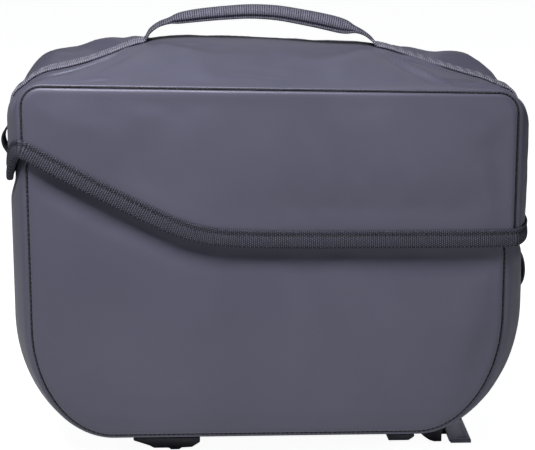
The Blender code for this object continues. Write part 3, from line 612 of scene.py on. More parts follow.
def blowUp(name, halfDepth, pathsAt, lift):
    rows = bagRows(halfDepth, pathsAt, lift)
    mesh = bpy.data.meshes.new(name)
    mesh.from_pydata(rows.reshape(-1, 3).tolist(), [], tubeFaces(*rows.shape[:2]))
    outwardFaces(mesh)
    bag = bpy.data.objects.new(name, mesh)
    scene = bpy.context.scene
    scene.collection.objects.link(bag)
    remesh = bag.modifiers.new("even", "REMESH")
    remesh.mode = "VOXEL"
    remesh.voxel_size = clothForm["voxel"]
    even = bpy.data.meshes.new_from_object(bag.evaluated_get(bpy.context.evaluated_depsgraph_get()))
    bag.modifiers.clear()
    bag.data = even
    start = readValues(even.vertices, "co", 3).astype(float)
    share = heldShare(start, halfDepth, pathsAt(halfDepth)[1], lift)
    held = bag.vertex_groups.new(name="held")
    for index, value in enumerate(share.tolist()):
        held.add([index], value, "REPLACE")
    cloth = bag.modifiers.new("cloth", "CLOTH")
    for key, value in clothSettings.items():
        setattr(cloth.settings, key, value)
    cloth.settings.effector_weights.gravity = 0
    cloth.collision_settings.use_collision = False
    cloth.point_cache.frame_start = 1
    cloth.point_cache.frame_end = clothForm["frames"]
    for step in range(1, clothForm["frames"] + 1):
        scene.frame_set(step)
    blown = bag.evaluated_get(bpy.context.evaluated_depsgraph_get()).data
    move = readValues(blown.vertices, "co", 3).astype(float) - start
    edges = readValues(even.edges, "vertices", 2, np.int32)
    bpy.data.objects.remove(bag, do_unlink=True)
    scene.frame_set(1)
    return start, cappedMove(start, move, edges, share)


# What the cloth moved, less its broad swelling, and never more than the cap
def cappedMove(start, move, edges, share):
    broad = move.copy()
    weight = np.zeros(len(move))
    np.add.at(weight, edges.ravel(), 1.0)
    for step in range(clothForm["evenRounds"]):
        total = np.zeros_like(broad)
        np.add.at(total, edges[:, 0], broad[edges[:, 1]])
        np.add.at(total, edges[:, 1], broad[edges[:, 0]])
        broad = 0.5 * broad + 0.5 * total / np.maximum(1, weight)[:, None]
    high = smoothStep((start[:, 2] - hoodForm["top"] + 30 * mm) / (25 * mm))
    gain = clothForm["panelGain"] + (clothForm["topGain"] - clothForm["panelGain"]) * high
    relief = (move - clothForm["broadShare"] * broad) * ((1 - share) * gain)[:, None]
    length = np.linalg.norm(relief, axis=1)
    print("cloth moved", round(float(np.abs(move).max() / mm), 2), "mm, relief",
          round(float(length.max() / mm), 2), "mm, mean", round(float(length.mean() / mm), 2), "mm")
    scale = clothForm["cap"] * np.tanh(length / clothForm["cap"]) / np.maximum(length, 1e-9)
    return relief * scale[:, None]


# Gives points of a fine mesh the movement of the cloth that lies nearest to them
def followCloth(points, cloth):
    if cloth is None:
        return points
    start, move = cloth
    tree = kdtree.KDTree(len(start))
    for index, point in enumerate(start.tolist()):
        tree.insert(point, index)
    tree.balance()
    moved = np.array(points, dtype=float)
    for index, point in enumerate(moved.tolist()):
        near = tree.find_n(point, 6)
        weights = np.array([1 / (distance + 0.5 * mm) ** 2 for place, source, distance in near])
        sources = [source for place, source, distance in near]
        moved[index] += (move[sources] * weights[:, None]).sum(axis=0) / weights.sum()
    return moved


bagInside = Vector((0, 0, 0.15))


# Padded cloth gets its thickness towards the inside of the bag
def makePadded(name, points, faces, cloth, wall, node):
    obj = finishPiece(name, followCloth(points, cloth), faces, finish["coatedFabric"], node)
    outward = sum(face.normal.dot(face.center - bagInside) * face.area for face in obj.data.polygons)
    if outward < 0:
        obj.data.flip_normals()
    modifier = obj.modifiers.new("wall", "SOLIDIFY")
    modifier.thickness = wall
    modifier.offset = -1
    modifier.use_even_offset = False


# Gives a node's inputs their values and links
def feed(tree, node, inputs):
    for key, value in inputs.items():
        if isinstance(value, bpy.types.NodeSocket):
            tree.links.new(value, node.inputs[key])
        else:
            node.inputs[key].default_value = value


def addNode(tree, kind, inputs=None, **settings):
    node = tree.nodes.new(kind)
    for key, value in settings.items():
        setattr(node, key, value)
    feed(tree, node, inputs or {})
    return node


def mathNode(tree, operation, *values, clamp=False):
    node = addNode(tree, "ShaderNodeMath", dict(enumerate(values)), operation=operation, use_clamp=clamp)
    return node.outputs[0]


def mixColor(tree, share, first, second):
    return addNode(tree, "ShaderNodeMix", {0: share, 6: first, 7: second}, data_type="RGBA").outputs[2]


# Shader groups

def newGroup(name, inputs, outputs):
    group = bpy.data.node_groups.new(name, "ShaderNodeTree")
    for title, value in inputs.items():
        kind = "NodeSocketColor" if isinstance(value, tuple) else "NodeSocketFloat"
        socket = group.interface.new_socket(title, in_out="INPUT", socket_type=kind)
        socket.default_value = value
    for title, kind in outputs.items():
        group.interface.new_socket(title, in_out="OUTPUT", socket_type="NodeSocket" + kind)
    given = group.nodes.new("NodeGroupInput").outputs
    return group, given, group.nodes.new("NodeGroupOutput")


def makeMottleGroup():
    group, given, out = newGroup(
        "softMottle",
        {"Size": 12.0, "Dark": (0, 0, 0, 1), "Light": (1, 1, 1, 1)},
        {"Color": "Color", "Mask": "Float"},
    )
    place = addNode(group, "ShaderNodeTexCoord").outputs["Object"]
    cloud = addNode(group, "ShaderNodeTexNoise", {"Vector": place, "Scale": given["Size"], "Detail": 3.0})
    spread = addNode(group, "ShaderNodeMapRange",
                     {"Value": cloud.outputs["Fac"], "From Min": 0.3, "From Max": 0.7})
    mask = spread.outputs["Result"]
    feed(group, out, {"Color": mixColor(group, mask, given["Dark"], given["Light"]), "Mask": mask})
    return group


def makeGrainGroup():
    group, given, out = newGroup(
        "fineGrain",
        {"Size": 900.0, "Strength": 0.2, "Depth": 0.0002, "Waves": 0.0},
        {"Normal": "Vector"},
    )
    place = addNode(group, "ShaderNodeTexCoord").outputs["Object"]
    grain = addNode(group, "ShaderNodeTexVoronoi", {"Vector": place, "Scale": given["Size"]},
                    feature="SMOOTH_F1")
    swell = addNode(group, "ShaderNodeTexNoise", {"Vector": place, "Scale": 22.0, "Detail": 2.0})
    waves = mathNode(group, "MULTIPLY", swell.outputs["Fac"], given["Waves"])
    height = mathNode(group, "ADD", grain.outputs["Distance"], waves)
    bump = addNode(group, "ShaderNodeBump",
                   {"Strength": given["Strength"], "Distance": given["Depth"], "Height": height})
    feed(group, out, {"Normal": bump.outputs["Normal"]})
    return group


# Yarns of webbing from its own coordinates: U along it and V across it, in metres
def makeYarnGroup():
    group, given, out = newGroup(
        "webbingYarn",
        {"Pitch": 1.4 * mm, "Yarn": 1.4 * mm, "Dark": (0, 0, 0, 1), "Light": (1, 1, 1, 1),
         "Cross": 0.8, "Fuzz": 0.7},
        {"Color": "Color", "Mask": "Float", "Normal": "Vector"},
    )
    place = addNode(group, "ShaderNodeUVMap", uv_map="cloth")
    split = addNode(group, "ShaderNodeSeparateXYZ", {0: place.outputs["UV"]})
    turn = mathNode(group, "DIVIDE", split.outputs["X"], given["Pitch"])
    rib = mathNode(group, "ABSOLUTE", mathNode(group, "SINE", mathNode(group, "MULTIPLY", turn, math.pi)))
    cross = mathNode(group, "DIVIDE", split.outputs["Y"], given["Yarn"])
    half = mathNode(group, "MULTIPLY", mathNode(group, "FLOOR", turn), 0.5)
    turned = mathNode(group, "MULTIPLY", mathNode(group, "ADD", cross, half), math.tau)
    weave = mathNode(group, "MULTIPLY", mathNode(group, "SINE", turned), 0.5)
    dip = mathNode(group, "MULTIPLY", mathNode(group, "SUBTRACT", 0.5, weave), given["Cross"])
    yarn = mathNode(group, "SUBTRACT", 1.0, dip)
    objectPlace = addNode(group, "ShaderNodeTexCoord").outputs["Object"]
    fuzz = addNode(group, "ShaderNodeTexNoise", {"Vector": objectPlace, "Scale": 900.0, "Detail": 2.0})
    body = mathNode(group, "MULTIPLY", mathNode(group, "POWER", rib, 1.2), yarn)
    stray = mathNode(group, "SUBTRACT", fuzz.outputs["Fac"], 0.5)
    mask = mathNode(group, "ADD", body, mathNode(group, "MULTIPLY", stray, given["Fuzz"]), clamp=True)
    bump = addNode(group, "ShaderNodeBump", {"Strength": 0.8, "Distance": 0.3 * mm, "Height": mask})
    feed(group, out, {
        "Color": mixColor(group, mask, given["Dark"], given["Light"]),
        "Mask": mask,
        "Normal": bump.outputs["Normal"],
    })
    return group


mottleGroup = makeMottleGroup()
grainGroup = makeGrainGroup()
yarnGroup = makeYarnGroup()


# Materials

def startMaterial(name, roughness, specular=0.5, metallic=0.0):
    material = bpy.data.materials.new(name)
    material.use_nodes = True
    tree = material.node_tree
    shader = tree.nodes["Principled BSDF"]
    feed(tree, shader, {"Roughness": roughness, "Specular IOR Level": specular, "Metallic": metallic})
    return material, tree, shader


def placeGroup(tree, group, **values):
    return addNode(tree, "ShaderNodeGroup", values, node_tree=group).outputs


def spreadRoughness(tree, mask, low, high):
    spread = addNode(tree, "ShaderNodeMapRange", {"Value": mask, "To Min": low, "To Max": high})
    return spread.outputs["Result"]


coatedLook = {
    "dark": (0.069, 0.068, 0.099, 1),
    "light": (0.081, 0.080, 0.116, 1),
    "shine": (0.84, 0.85, 1.0, 1),
    "roughness": (0.34, 0.44),
    "sheen": 0.08,
}

# Colour between the yarns and on them, pitch of the ribs, depth of the cross weave, and fuzz
webbingLook = {
    "bindingWebbing": ((0.007, 0.007, 0.013, 1), (0.100, 0.099, 0.130, 1), 1.5 * mm, 0.8, 0.6),
    # The strap's webbing comes as a lighter and a darker copy of one material: painted light on the run that
    # faces up, painted shade on the grip that faces forward
    "strapLitWebbing": ((0.009, 0.009, 0.018, 1), (0.290, 0.286, 0.360, 1), 1.7 * mm, 0.2, 0.2),
    "gripShadedWebbing": ((0.008, 0.008, 0.016, 1), (0.150, 0.148, 0.195, 1), 1.7 * mm, 0.2, 0.2),
    "loopWebbing": ((0.006, 0.006, 0.009, 1), (0.034, 0.034, 0.044, 1), 1.4 * mm, 0.3, 0.5),
    # The light loop's webbing has the hood cloth's grey-blue, made lighter than that as painted light
    # against the shade the loop lies in
    "lightWebbing": ((0.110, 0.109, 0.150, 1), (0.160, 0.158, 0.215, 1), 1.4 * mm, 0.3, 0.3),
}

# Two colours that run into each other, and the range of roughness
plasticLook = {
    "sewingThread": ((0.006, 0.006, 0.009, 1), (0.012, 0.012, 0.017, 1), (0.6, 0.8)),
    "blackPlastic": ((0.018, 0.018, 0.030, 1), (0.028, 0.028, 0.046, 1), (0.38, 0.5)),
    # The lever's grey is its own colour, made lighter than it is as painted light against the shade under
    # the bag
    "greyPlastic": ((0.200, 0.200, 0.265, 1), (0.225, 0.225, 0.295, 1), (0.36, 0.46)),
}


def makeCoatedFabric():
    material, tree, shader = startMaterial("coatedFabric", 0.5)
    mottle = placeGroup(tree, mottleGroup, Size=9.0, Dark=coatedLook["dark"], Light=coatedLook["light"])
    grain = placeGroup(tree, grainGroup, Size=1500.0, Strength=0.25, Depth=0.00012, Waves=3.0)
    feed(tree, shader, {
        "Base Color": mottle["Color"],
        "Roughness": spreadRoughness(tree, mottle["Mask"], *coatedLook["roughness"]),
        "Normal": grain["Normal"],
        "Specular Tint": coatedLook["shine"],
        "Sheen Tint": coatedLook["shine"],
        "Sheen Weight": coatedLook["sheen"],
        "Sheen Roughness": 0.5,
    })
    return material


def makeWebbing(name, dark, light, pitch, cross, fuzz):
    material, tree, shader = startMaterial(name, 0.8, 0.3)
    yarn = placeGroup(tree, yarnGroup, Pitch=pitch, Dark=dark, Light=light, Cross=cross, Fuzz=fuzz)
    feed(tree, shader, {
        "Base Color": yarn["Color"],
        "Roughness": spreadRoughness(tree, yarn["Mask"], 0.9, 0.6),
        "Normal": yarn["Normal"],
        "Specular Tint": coatedLook["shine"],
    })
    return material


def makePlastic(name, dark, light, roughness):
    material, tree, shader = startMaterial(name, roughness[0])
    mottle = placeGroup(tree, mottleGroup, Size=60.0, Dark=dark, Light=light)
    grain = placeGroup(tree, grainGroup, Size=2600.0, Strength=0.3, Depth=0.00008, Waves=0.0)
    feed(tree, shader, {
        "Base Color": mottle["Color"],
        "Roughness": spreadRoughness(tree, mottle["Mask"], *roughness),
        "Normal": grain["Normal"],
    })
    return material


def makeSteel():
    material, tree, shader = startMaterial("pinSteel", 0.3, 0.5, 1.0)
    dark, light = (0.40, 0.40, 0.41, 1), (0.52, 0.52, 0.53, 1)
    mottle = placeGroup(tree, mottleGroup, Size=400.0, Dark=dark, Light=light)
    feed(tree, shader, {"Base Color": mottle["Color"]})
    return material


finish = {"coatedFabric": makeCoatedFabric(), "pinSteel": makeSteel()}
finish.update({name: makeWebbing(name, *look) for name, look in webbingLook.items()})
finish.update({name: makePlastic(name, *look) for name, look in plasticLook.items()})


# Hood and lower body

def makeSoftBody(name, gussetName, form, pathsAt, grid, depthAt, middle, lift):
    cloth = None
    cloth = blowUp(name + "Cloth", form["halfDepth"], pathsAt, lift)
    faces = gridFaces(*grid.shape[:2])
    makePadded(gussetName, grid.reshape(-1, 3), faces, cloth, form["wall"], name + "_gusset")
    outline, seam = panelOutline(form["halfDepth"], pathsAt, lift)
    for side, facing in ((-1, "Front"), (1, "Back")):
        points, faces = panelPoints(outline, seam, middle, depthAt, side)
        node = name + "_" + facing.lower() + "_panel"
        makePadded(name + facing, points, faces, cloth, form["wall"], node)
    makeSeamThread(name + "SeamThread", form["halfDepth"], pathsAt, seamForm[name + "Stitch"])
    print(name, "body made")


def makeBag():
    edge = edgeForm["level"]
    hoodMiddle = (0.32 * hoodForm["halfLength"], 0.5 * (hoodForm["top"] + edge))
    makeSoftBody("hood", "hoodTop", hoodForm, hoodPathsAt, hoodGrid(), hoodDepth, hoodMiddle, 0.0)
    lowerGrid = gussetGrid(lowerForm["halfDepth"], lowerPathsAt, 3.4 * mm)
    lowerMiddle = (0.0, 0.5 * (lowerForm["bottom"] + edge))
    makeSoftBody("lower", "lowerSides", lowerForm, lowerPathsAt, lowerGrid, lowerDepth, lowerMiddle,
                 lowerForm["overlap"])


# Thread in the grooves of the seams: long stitches that lie end to end
def makeSeamThread(name, halfDepth, pathsAt, stitch):
    seam = pathsAt(halfDepth)[1]
    normals = outwardNormals(seam)
    steps = runLength(seam)
    long, gap = stitch
    count = int(steps[-1] / (long + gap))
    startPlaces = (np.arange(count) + 0.5) * steps[-1] / count - long / 2
    sunk = 0.7 * seamForm["threadDepth"]
    starts, ends, outs = [], [], []
    for side in (-1, 1):
        for line, places in ((starts, startPlaces), (ends, startPlaces + long)):
            out = interpRows(places, steps, normals)
            line.extend(atDepth(interpRows(places, steps, seam) - out * sunk, side * (halfDepth - sunk)))
        out = atDepth(out, side)
        outs.extend(out / np.linalg.norm(out, axis=1)[:, None])
    makeStitches(name, starts, ends, outs, seamForm["threadRadius"], 0.25)


# Edge binding

bindingForm = {
    "height": 12 * mm,
    "ribPitch": 1.5 * mm,
    "ribHeight": 0.3 * mm,
    "ribsFrom": 0.8,            # ribs show where the section stands out further than this, in mm
    "stitchRise": 8.5 * mm,
    "stitchPitch": 2.9 * mm,
    "stitchLength": 2.0 * mm,
    "stitchRadius": 0.42 * mm,
    "stitchLean": 0.5 * mm,
    "stitchOut": 1.2 * mm,
    "sideRound": 1.6 * mm,      # reach of the rounding at the bag's corners
    "edgeRound": 6 * mm,        # and of the rounding in the edge's height
}

# Cross-section of the folded webbing: rise above the hood's edge and place out of its face, in mm
bindingSection = [
    (12.0, 0.35), (12.0, 1.2), (11.3, 1.6), (10.0, 1.5), (8.9, 1.0), (8.1, 1.0), (7.0, 1.5), (4.5, 1.85),
    (2.0, 1.95), (0.4, 1.8), (-0.8, 1.3), (-1.4, 0.1), (-1.3, -2.1), (-0.6, -2.95), (1.0, -3.25),
    (10.5, -3.3), (10.5, -2.4), (1.0, -2.35), (-0.1, -1.9), (-0.25, -0.9), (-0.1, 0.1), (1.0, 0.33),
]


def closedSection():
    x = np.linspace(-hoodForm["seamHalf"], hoodForm["seamHalf"], 500)
    front = np.column_stack((x, -hoodDepth(x, edgeHeight(x) + 6 * mm)[0]))
    y = np.linspace(-hoodForm["halfDepth"], hoodForm["halfDepth"], 300)[1:-1]
    bulge = hoodForm["halfLength"] - hoodForm["seamHalf"]
    wall = hoodForm["seamHalf"] + bulge * (1 - (np.abs(y) / hoodForm["halfDepth"]) ** 5)
    right = np.column_stack((wall, y))
    back = np.column_stack((x[::-1], -front[::-1, 1]))
    left = np.column_stack((-wall[::-1], y[::-1]))
    loop = np.vstack((front, right, back, left))
    heights = np.concatenate((
        edgeHeight(x), np.full(len(y), float(edgeHeight(hoodForm["seamHalf"]))),
        edgeHeight(x[::-1]), flapHeight(y[::-1]),
    ))
    return loop, heights


def periodic(places, length, grid, values):
    return np.interp(np.mod(places, length), grid, np.append(values, values[0]))


class EdgeWalk:
    # Walks round the hood's lower edge: gives points from a place along it, a rise and a stand-off
    def __init__(self, spacing):
        loop, heights = closedSection()
        places = runLength(np.vstack((loop, loop[:1])))
        self.length = places[-1]
        count = int(round(self.length / spacing))
        self.places = np.arange(count) * self.length / count
        self.fine = np.append(self.places, self.length)
        x, y, z = [periodic(self.places, self.length, places, v) for v in (*loop.T, heights)]
        for reach in range(int(round(bindingForm["sideRound"] / spacing))):
            x, y = [0.25 * np.roll(v, 1) + 0.5 * v + 0.25 * np.roll(v, -1) for v in (x, y)]
        for reach in range(int(round(bindingForm["edgeRound"] / spacing)) * 2):
            z = 0.25 * np.roll(z, 1) + 0.5 * z + 0.25 * np.roll(z, -1)
        self.x, self.y, self.z = x, y, z
        step = self.length / count
        along = np.column_stack((np.roll(x, -1) - np.roll(x, 1), np.roll(y, -1) - np.roll(y, 1)))
        along /= np.linalg.norm(along, axis=1)[:, None]
        self.out = np.column_stack((along[:, 1], -along[:, 0]))
        self.slope = np.arctan((np.roll(z, -1) - np.roll(z, 1)) / (2 * step))

    def at(self, places, values):
        return periodic(places, self.length, self.fine, values)

    def points(self, places, rise, aside):
        slope = self.at(places, self.slope)
        moved = places - rise * np.sin(slope)
        height = self.at(places, self.z) + rise * np.cos(slope)
        outX, outY = [self.at(moved, out) for out in self.out.T]
        x, y = self.at(moved, self.x) + outX * aside, self.at(moved, self.y) + outY * aside
        return np.column_stack((x, y, height))


def ribWave(places, pitch):
    return np.abs(np.sin(places / pitch * math.pi)) ** 0.8 - 0.5


def makeBinding():
    walk = EdgeWalk(bindingForm["ribPitch"] / 4)
    pitch = walk.length / round(walk.length / bindingForm["ribPitch"])
    rib = bindingForm["ribHeight"] * ribWave(walk.places, pitch)
    rings = []
    for rise, aside in bindingSection:
        lift = rib * (aside > bindingForm["ribsFrom"])
        rings.append(walk.points(walk.places, rise * mm, aside * mm + lift))
    grid = np.stack(rings, axis=1)
    across = np.array([rise - aside for rise, aside in bindingSection]) * mm
    uv = gridPlaces(walk.places * bindingForm["ribPitch"] / pitch, across)
    faces = gridFaces(*grid.shape[:2], closedRows=True, closedColumns=True)
    finishPiece("edgeBinding", grid.reshape(-1, 3), faces, finish["bindingWebbing"],
                "hood_binding", uv)
    makeBindingStitches(walk)
    print("edge binding made")


# Sewing stitches: small rounded bars that follow a line just proud of the cloth
def makeStitches(name, starts, ends, outs, radius, sink=0.9):
    points, faces = [], []
    sides, shares = 6, [(0.0, 0.25), (0.12, 0.85), (0.5, 1.0), (0.88, 0.85), (1.0, 0.25)]
    for start, end, out in zip(starts, ends, outs):
        start, end, out = Vector(start), Vector(end), Vector(out)
        way = (end - start).normalized()
        side = way.cross(out).normalized()
        base = len(points)
        for share, thick in shares:
            sunk = -radius * sink * (1 - math.sin(math.pi * share))
            centre = start.lerp(end, share) + out * sunk
            for turn in range(sides):
                angle = math.tau * turn / sides
                points.append(centre + (side * math.cos(angle) + out * math.sin(angle)) * radius * thick)
        faces += [tuple(base + index for index in face) for face in tubeFaces(len(shares), sides)]
    finishPiece(name, points, faces, finish["sewingThread"])


def makeBindingStitches(walk):
    count = int(walk.length / bindingForm["stitchPitch"])
    places = np.arange(count) * walk.length / count
    half = bindingForm["stitchLength"] / 2
    rise, lean = bindingForm["stitchRise"], bindingForm["stitchLean"]
    starts = walk.points(places - half, rise - lean, bindingForm["stitchOut"])
    ends = walk.points(places + half, rise + lean, bindingForm["stitchOut"])
    outs = np.column_stack([walk.at(places, walk.out[:, i]) for i in (0, 1)] + [np.zeros(count)])
    makeStitches("bindingStitches", starts, ends, outs, bindingForm["stitchRadius"])


# Webbing swept along a line in the plane y = 0

webbingGap = 0.35 * mm      # between webbing and the cloth under it


def smoothLine(points, spacing):
    points = np.array(points, dtype=float)
    padded = np.vstack((2 * points[0] - points[1], points, 2 * points[-1] - points[-2]))
    dense = []
    for p0, p1, p2, p3 in zip(padded, padded[1:], padded[2:], padded[3:]):
        t = np.linspace(0, 1, 24, endpoint=False)[:, None]
        dense.append(0.5 * (2 * p1 + (p2 - p0) * t + (2 * p0 - 5 * p1 + 4 * p2 - p3) * t ** 2
                            + (3 * p1 - p0 - 3 * p2 + p3) * t ** 3))
    dense = np.vstack(dense + [points[-1:]])
    places = runLength(dense[:, :2])
    even = np.linspace(0, places[-1], max(8, int(places[-1] / spacing)))
    return even, interpRows(even, places, dense)


# Half of the section of flat webbing and of the folded grip: place across and height, as shares
flatSection = [
    (0.0, 0.5), (0.3, 0.5), (0.6, 0.5), (0.85, 0.5), (0.95, 0.46), (1.0, 0.2), (1.0, 0.07), (1.0, -0.07),
    (1.0, -0.2), (0.95, -0.46), (0.85, -0.5), (0.6, -0.5), (0.3, -0.5), (0.0, -0.5),
]
gripSection = [
    (0.0, 0.5), (0.34, 0.48), (0.68, 0.40), (0.90, 0.24), (0.98, 0.06), (1.0, -0.08), (0.96, -0.17),
    (0.82, -0.21), (0.83, -0.30), (0.90, -0.38), (0.85, -0.46), (0.6, -0.5), (0.3, -0.5), (0.0, -0.46),
]


def wholeSection(half):
    left = [(-a, h) for a, h in half[-2:0:-1]]
    return np.array(half + left)


def makeWebbingLine(name, places, line, grip, width, wall, material, node, form):
    flat, folded = wholeSection(flatSection), wholeSection(gripSection)
    up = leftNormals(line)
    if up[:, 1].sum() < 0 and abs(up[:, 1].sum()) > abs(up[:, 0].sum()):
        up = -up
    rib = form["ribHeight"] * ribWave(places, form["ribPitch"])[:, None]
    grip, width, wall = [value[:, None] for value in (grip, width, wall)]
    section = flat * (1 - grip[:, :, None]) + folded * grip[:, :, None]
    wide = width / 2 * section[..., 0] + rib * np.sign(flat[:, 0]) * (np.abs(flat[:, 0]) > 0.9)
    tall = wall * section[..., 1] + rib * np.sign(flat[:, 1]) * (np.abs(flat[:, 1]) > 0.3)
    grid = np.stack((line[:, 0:1] + up[:, 0:1] * tall, wide, line[:, 1:2] + up[:, 1:2] * tall), axis=2)
    uv = gridPlaces(places, runLength(flat) * width.max() / 2)
    return finishPiece(name, grid.reshape(-1, 3), tubeFaces(*grid.shape[:2]), material, node, uv)


# Handle: place between the anchors, height share, grip share
handleTable = [
    (0.022, 0.30, 0.0), (0.060, 0.54, 0.0), (0.105, 0.67, 0.15), (0.150, 0.75, 0.8), (0.240, 0.86, 1.0),
    (0.350, 0.95, 1.0), (0.460, 1.00, 1.0), (0.570, 0.96, 1.0), (0.680, 0.83, 1.0), (0.780, 0.69, 1.0),
    (0.860, 0.55, 0.85), (0.910, 0.44, 0.2), (0.950, 0.31, 0.0), (0.980, 0.15, 0.0),
]


def makeStrap():
    middle = hoodPathsAt(0.0)[0]
    middle[:, 1] += topCrown(middle[:, 0], np.zeros(len(middle))) * onTop(middle[:, 1])
    run = middle + leftNormals(middle) * (strapForm["wall"] / 2 + webbingGap)
    leftPlace, rightPlace = strapForm["leftAnchor"], strapForm["rightAnchor"]
    leftRun = run[(run[:, 0] < leftPlace - 2 * mm) & (run[:, 1] > strapForm["leftEnd"])]
    rightRun = run[(run[:, 0] > rightPlace + 2 * mm) & (run[:, 1] > strapForm["rightEnd"])]
    leftAnchor, rightAnchor = [interpRows(place, run[:, 0], run) for place in (leftPlace, rightPlace)]
    top = strapForm["handleTop"] - strapForm["gripHeight"] / 2
    points = [(x, z, 0.0) for x, z in leftRun[::2]] + [(*leftAnchor, 0.0)]
    for place, rise, grip in handleTable:
        foot = leftAnchor + (rightAnchor - leftAnchor) * place
        points.append((foot[0], foot[1] + (top - foot[1]) * rise, grip))
    points += [(*rightAnchor, 0.0)] + [(x, z, 0.0) for x, z in rightRun[::2]]
    places, line = smoothLine(points, strapForm["ribPitch"] / 4)
    grip = np.clip(line[:, 2], 0, 1)
    width = strapForm["width"] + (strapForm["gripWidth"] - strapForm["width"]) * grip
    thick = strapForm["gripHeight"] * (1 + strapForm["gripGrowth"] * line[:, 0])
    wall = strapForm["wall"] + (thick - strapForm["wall"]) * grip
    line[:, 1] -= 0.5 * (thick - strapForm["gripHeight"]) * grip
    strap = makeWebbingLine("carryStrap", places, line[:, :2], grip, width, wall, finish["strapLitWebbing"],
                            "carry_strap", strapForm)
    # The grip's faces take the darker copy of the webbing, painted shade for the grip that faces forward
    strap.data.materials.append(finish["gripShadedWebbing"])
    lowest = min(leftAnchor[1], rightAnchor[1]) + 5 * mm
    for face in strap.data.polygons:
        x, y, z = face.center
        face.material_index = int(leftPlace < x < rightPlace and z > lowest)
    print("carry strap made")


loopForm = {
    "width": 22 * mm,
    "wall": 1.5 * mm,
    "stand": cadBounds[1][0],
    "pullProud": 1.0 * mm,      # the loops stand out a little further than their solids
    "lightProud": 1.8 * mm,
    "bindingOut": 1.9 * mm,     # the pull loop lies over the binding
    "ribPitch": 1.4 * mm,
    "ribHeight": 0.12 * mm,
}

# Place down the loop and reach, as shares of its height and of its stand-off
pullLoopTable = [
    (0.0, 0.0), (0.10, 0.0), (0.20, 0.04), (0.30, 0.42), (0.42, 0.86), (0.54, 1.0), (0.66, 0.88),
    (0.76, 0.44), (0.85, 0.03), (0.93, 0.0), (1.0, 0.0),
]
lightLoopTable = [
    (0.0, 0.0), (0.06, 0.05), (0.14, 0.36), (0.26, 0.72), (0.42, 0.95), (0.60, 1.0), (0.76, 0.84),
    (0.88, 0.42), (0.95, 0.05), (1.0, 0.0),
]


def makeEndLoop(name, side, table, seatAt, proud, material, node):
    low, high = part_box(node)
    reachEnd = loopForm["stand"] + proud - loopForm["wall"] / 2
    points = []
    for place, reach in table:
        z = high[2] - place * (high[2] - low[2])
        seat = seatAt(z) + loopForm["wall"] / 2 + webbingGap
        points.append((side * (seat + (reachEnd - seat) * reach), z))
    places, line = smoothLine(points, loopForm["ribPitch"] / 4)
    grip, width, wall = [np.full(len(places), value) for value in (0.0, loopForm["width"], loopForm["wall"])]
    makeWebbingLine(name, places, line, grip, width, wall, material, node, loopForm)


def hoodEndSeat(z):
    bindingTop = float(flapHeight(0.0)) + bindingForm["height"] + 1 * mm
    return hoodForm["halfLength"] + (loopForm["bindingOut"] if z < bindingTop else 0.0)


def lowerEndSeat(z):
    wide, tall = lowerForm["rightCorner"]
    below = max(0.0, lowerForm["bottom"] + tall - z)
    return lowerForm["halfLength"] - wide * (1 - math.sqrt(1 - (below / tall) ** 2))


def makeLoops():
    makeEndLoop("pullLoop", -1, pullLoopTable, hoodEndSeat, loopForm["pullProud"], finish["loopWebbing"],
                "pull_loop")
    makeEndLoop("lightLoop", 1, lightLoopTable, lowerEndSeat, loopForm["lightProud"],
                finish["lightWebbing"], "light_loop")
    print("end loops made")


# Rigid pieces keep their solid's form. Finish, slot, body, and softness of the edges in mm
blackFoot = ("blackPlastic", "black_plastic", "bag")
rigidPieces = {
    "base_plate": (*blackFoot, 0.8),
    "front_runner": (*blackFoot, 0.7),
    "back_runner": (*blackFoot, 0.7),
    "front_pad": (*blackFoot, 0.7),
    "back_pad": (*blackFoot, 0.7),
    "lever_housing": (*blackFoot, 0.5),
    "release_lever": ("greyPlastic", "grey_plastic", "lever", 0.35),
    "closure_patch": ("loopWebbing", "loop_webbing", "bag", 0.5),
}


def makeSoftEdged(node, finishName, slotName, body, softness):
    first, second = node.split("_")
    name = first + second.title()
    work = bmesh.new()
    work.from_mesh(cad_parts[node].data)
    bmesh.ops.remove_doubles(work, verts=work.verts, dist=1e-6)
    bmesh.ops.dissolve_limit(work, angle_limit=math.radians(1.0), verts=work.verts, edges=work.edges)
    mesh = bpy.data.meshes.new(name)
    work.to_mesh(mesh)
    work.free()
    obj = placeObject(name, mesh, finish[finishName], body, node)
    bevel = obj.modifiers.new("softEdge", "BEVEL")
    bevel.width = softness * mm
    bevel.segments = 3
    bevel.limit_method = "ANGLE"
    bevel.angle_limit = math.radians(25)
    bevel.harden_normals = True


def makeRackFoot():
    for node, values in rigidPieces.items():
        makeSoftEdged(node, *values)
    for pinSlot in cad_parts["lever_pin"].material_slots:
        pinSlot.material = finish["pinSteel"]
    print("rack foot made")


# Stage, light and camera

stageLook = {
    "floorDark": (0.66, 0.66, 0.66, 1),
    "floorLight": (0.70, 0.70, 0.70, 1),
    "floorGlow": 0.95,      # makes the floor white to the camera alone
    "sky": (0.80, 0.85, 1.0, 1),
    "world": 0.04,
}

# Lights: place, what they point at, width, height and power
bagMiddle = (0, 0, 0.2)
lightTable = {
    "keySoftbox": ((-0.18, -0.46, 0.86), bagMiddle, 0.44, 0.36, 10.9),
    "backSoftbox": ((0.1, 1.6, 1.2), bagMiddle, 1.4, 0.8, 1.0),
    "lowFill": ((0.5, -1.5, 0.1), (0.1, 0, 0.04), 0.5, 0.15, 0.9),
    "leftFill": ((-1.6, -0.5, 0.7), bagMiddle, 0.8, 1.0, 0.9),
    "rightFill": ((1.6, -0.4, 0.5), bagMiddle, 0.8, 0.8, 2.2),
}

viewForm = {
    "place": (-0.0488, -1.3, 0.4736),
    "pitch": 13.48,
    "yaw": 2.2,
    "lens": 115.07,
}


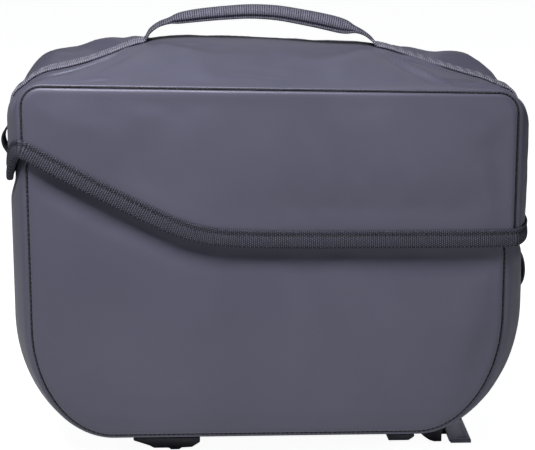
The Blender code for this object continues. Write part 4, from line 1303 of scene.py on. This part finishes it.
def makeStage():
    bpy.ops.mesh.primitive_plane_add(size=40, location=(0, 10, 0))
    floor = bpy.context.object
    floor.name = "floor"
    material, tree, shader = startMaterial("paleFloor", 0.9, 0.2)
    mottle = placeGroup(tree, mottleGroup, Size=1.5, Dark=stageLook["floorDark"],
                        Light=stageLook["floorLight"])
    seenBy = addNode(tree, "ShaderNodeLightPath").outputs["Is Camera Ray"]
    glow = mathNode(tree, "MULTIPLY", seenBy, stageLook["floorGlow"])
    feed(tree, shader, {
        "Base Color": mottle["Color"],
        "Emission Color": (1, 1, 1, 1),
        "Emission Strength": glow,
    })
    floor.data.materials.append(material)
    print("floor made")


# The sky lights the bag softly, and the camera sees it as white
def makeSky():
    world = bpy.data.worlds.new("softWhite")
    world.use_nodes = True
    tree = world.node_tree
    sky = tree.nodes["Background"]
    feed(tree, sky, {"Color": stageLook["sky"], "Strength": stageLook["world"]})
    white = addNode(tree, "ShaderNodeBackground", {"Color": (1, 1, 1, 1)})
    seenBy = addNode(tree, "ShaderNodeLightPath").outputs["Is Camera Ray"]
    both = addNode(tree, "ShaderNodeMixShader", {0: seenBy, 1: sky.outputs[0], 2: white.outputs[0]})
    feed(tree, tree.nodes["World Output"], {"Surface": both.outputs[0]})
    bpy.context.scene.world = world


def makeLights():
    for name, (place, target, width, height, power) in lightTable.items():
        light = bpy.data.lights.new(name, "AREA")
        light.shape = "RECTANGLE"
        light.size, light.size_y = width, height
        light.energy = power
        obj = bpy.data.objects.new(name, light)
        obj.location = place
        obj.rotation_euler = (Vector(target) - Vector(place)).to_track_quat("-Z", "Y").to_euler()
        bpy.context.scene.collection.objects.link(obj)
    print("lights made")


def makeCamera():
    camera = bpy.data.cameras.new("photoView")
    camera.lens = viewForm["lens"]
    camera.sensor_width = 36
    camera.clip_end = 100
    obj = bpy.data.objects.new("photoView", camera)
    obj.location = viewForm["place"]
    obj.rotation_euler = (math.radians(90 - viewForm["pitch"]), 0, math.radians(-viewForm["yaw"]))
    bpy.context.scene.collection.objects.link(obj)
    bpy.context.scene.camera = obj
    bpy.context.scene.view_settings.view_transform = "Standard"
    print("camera placed")


makeStage()
makeSky()
makeLights()
makeCamera()
makeBag()
makeBinding()
makeStrap()
makeLoops()
makeRackFoot()
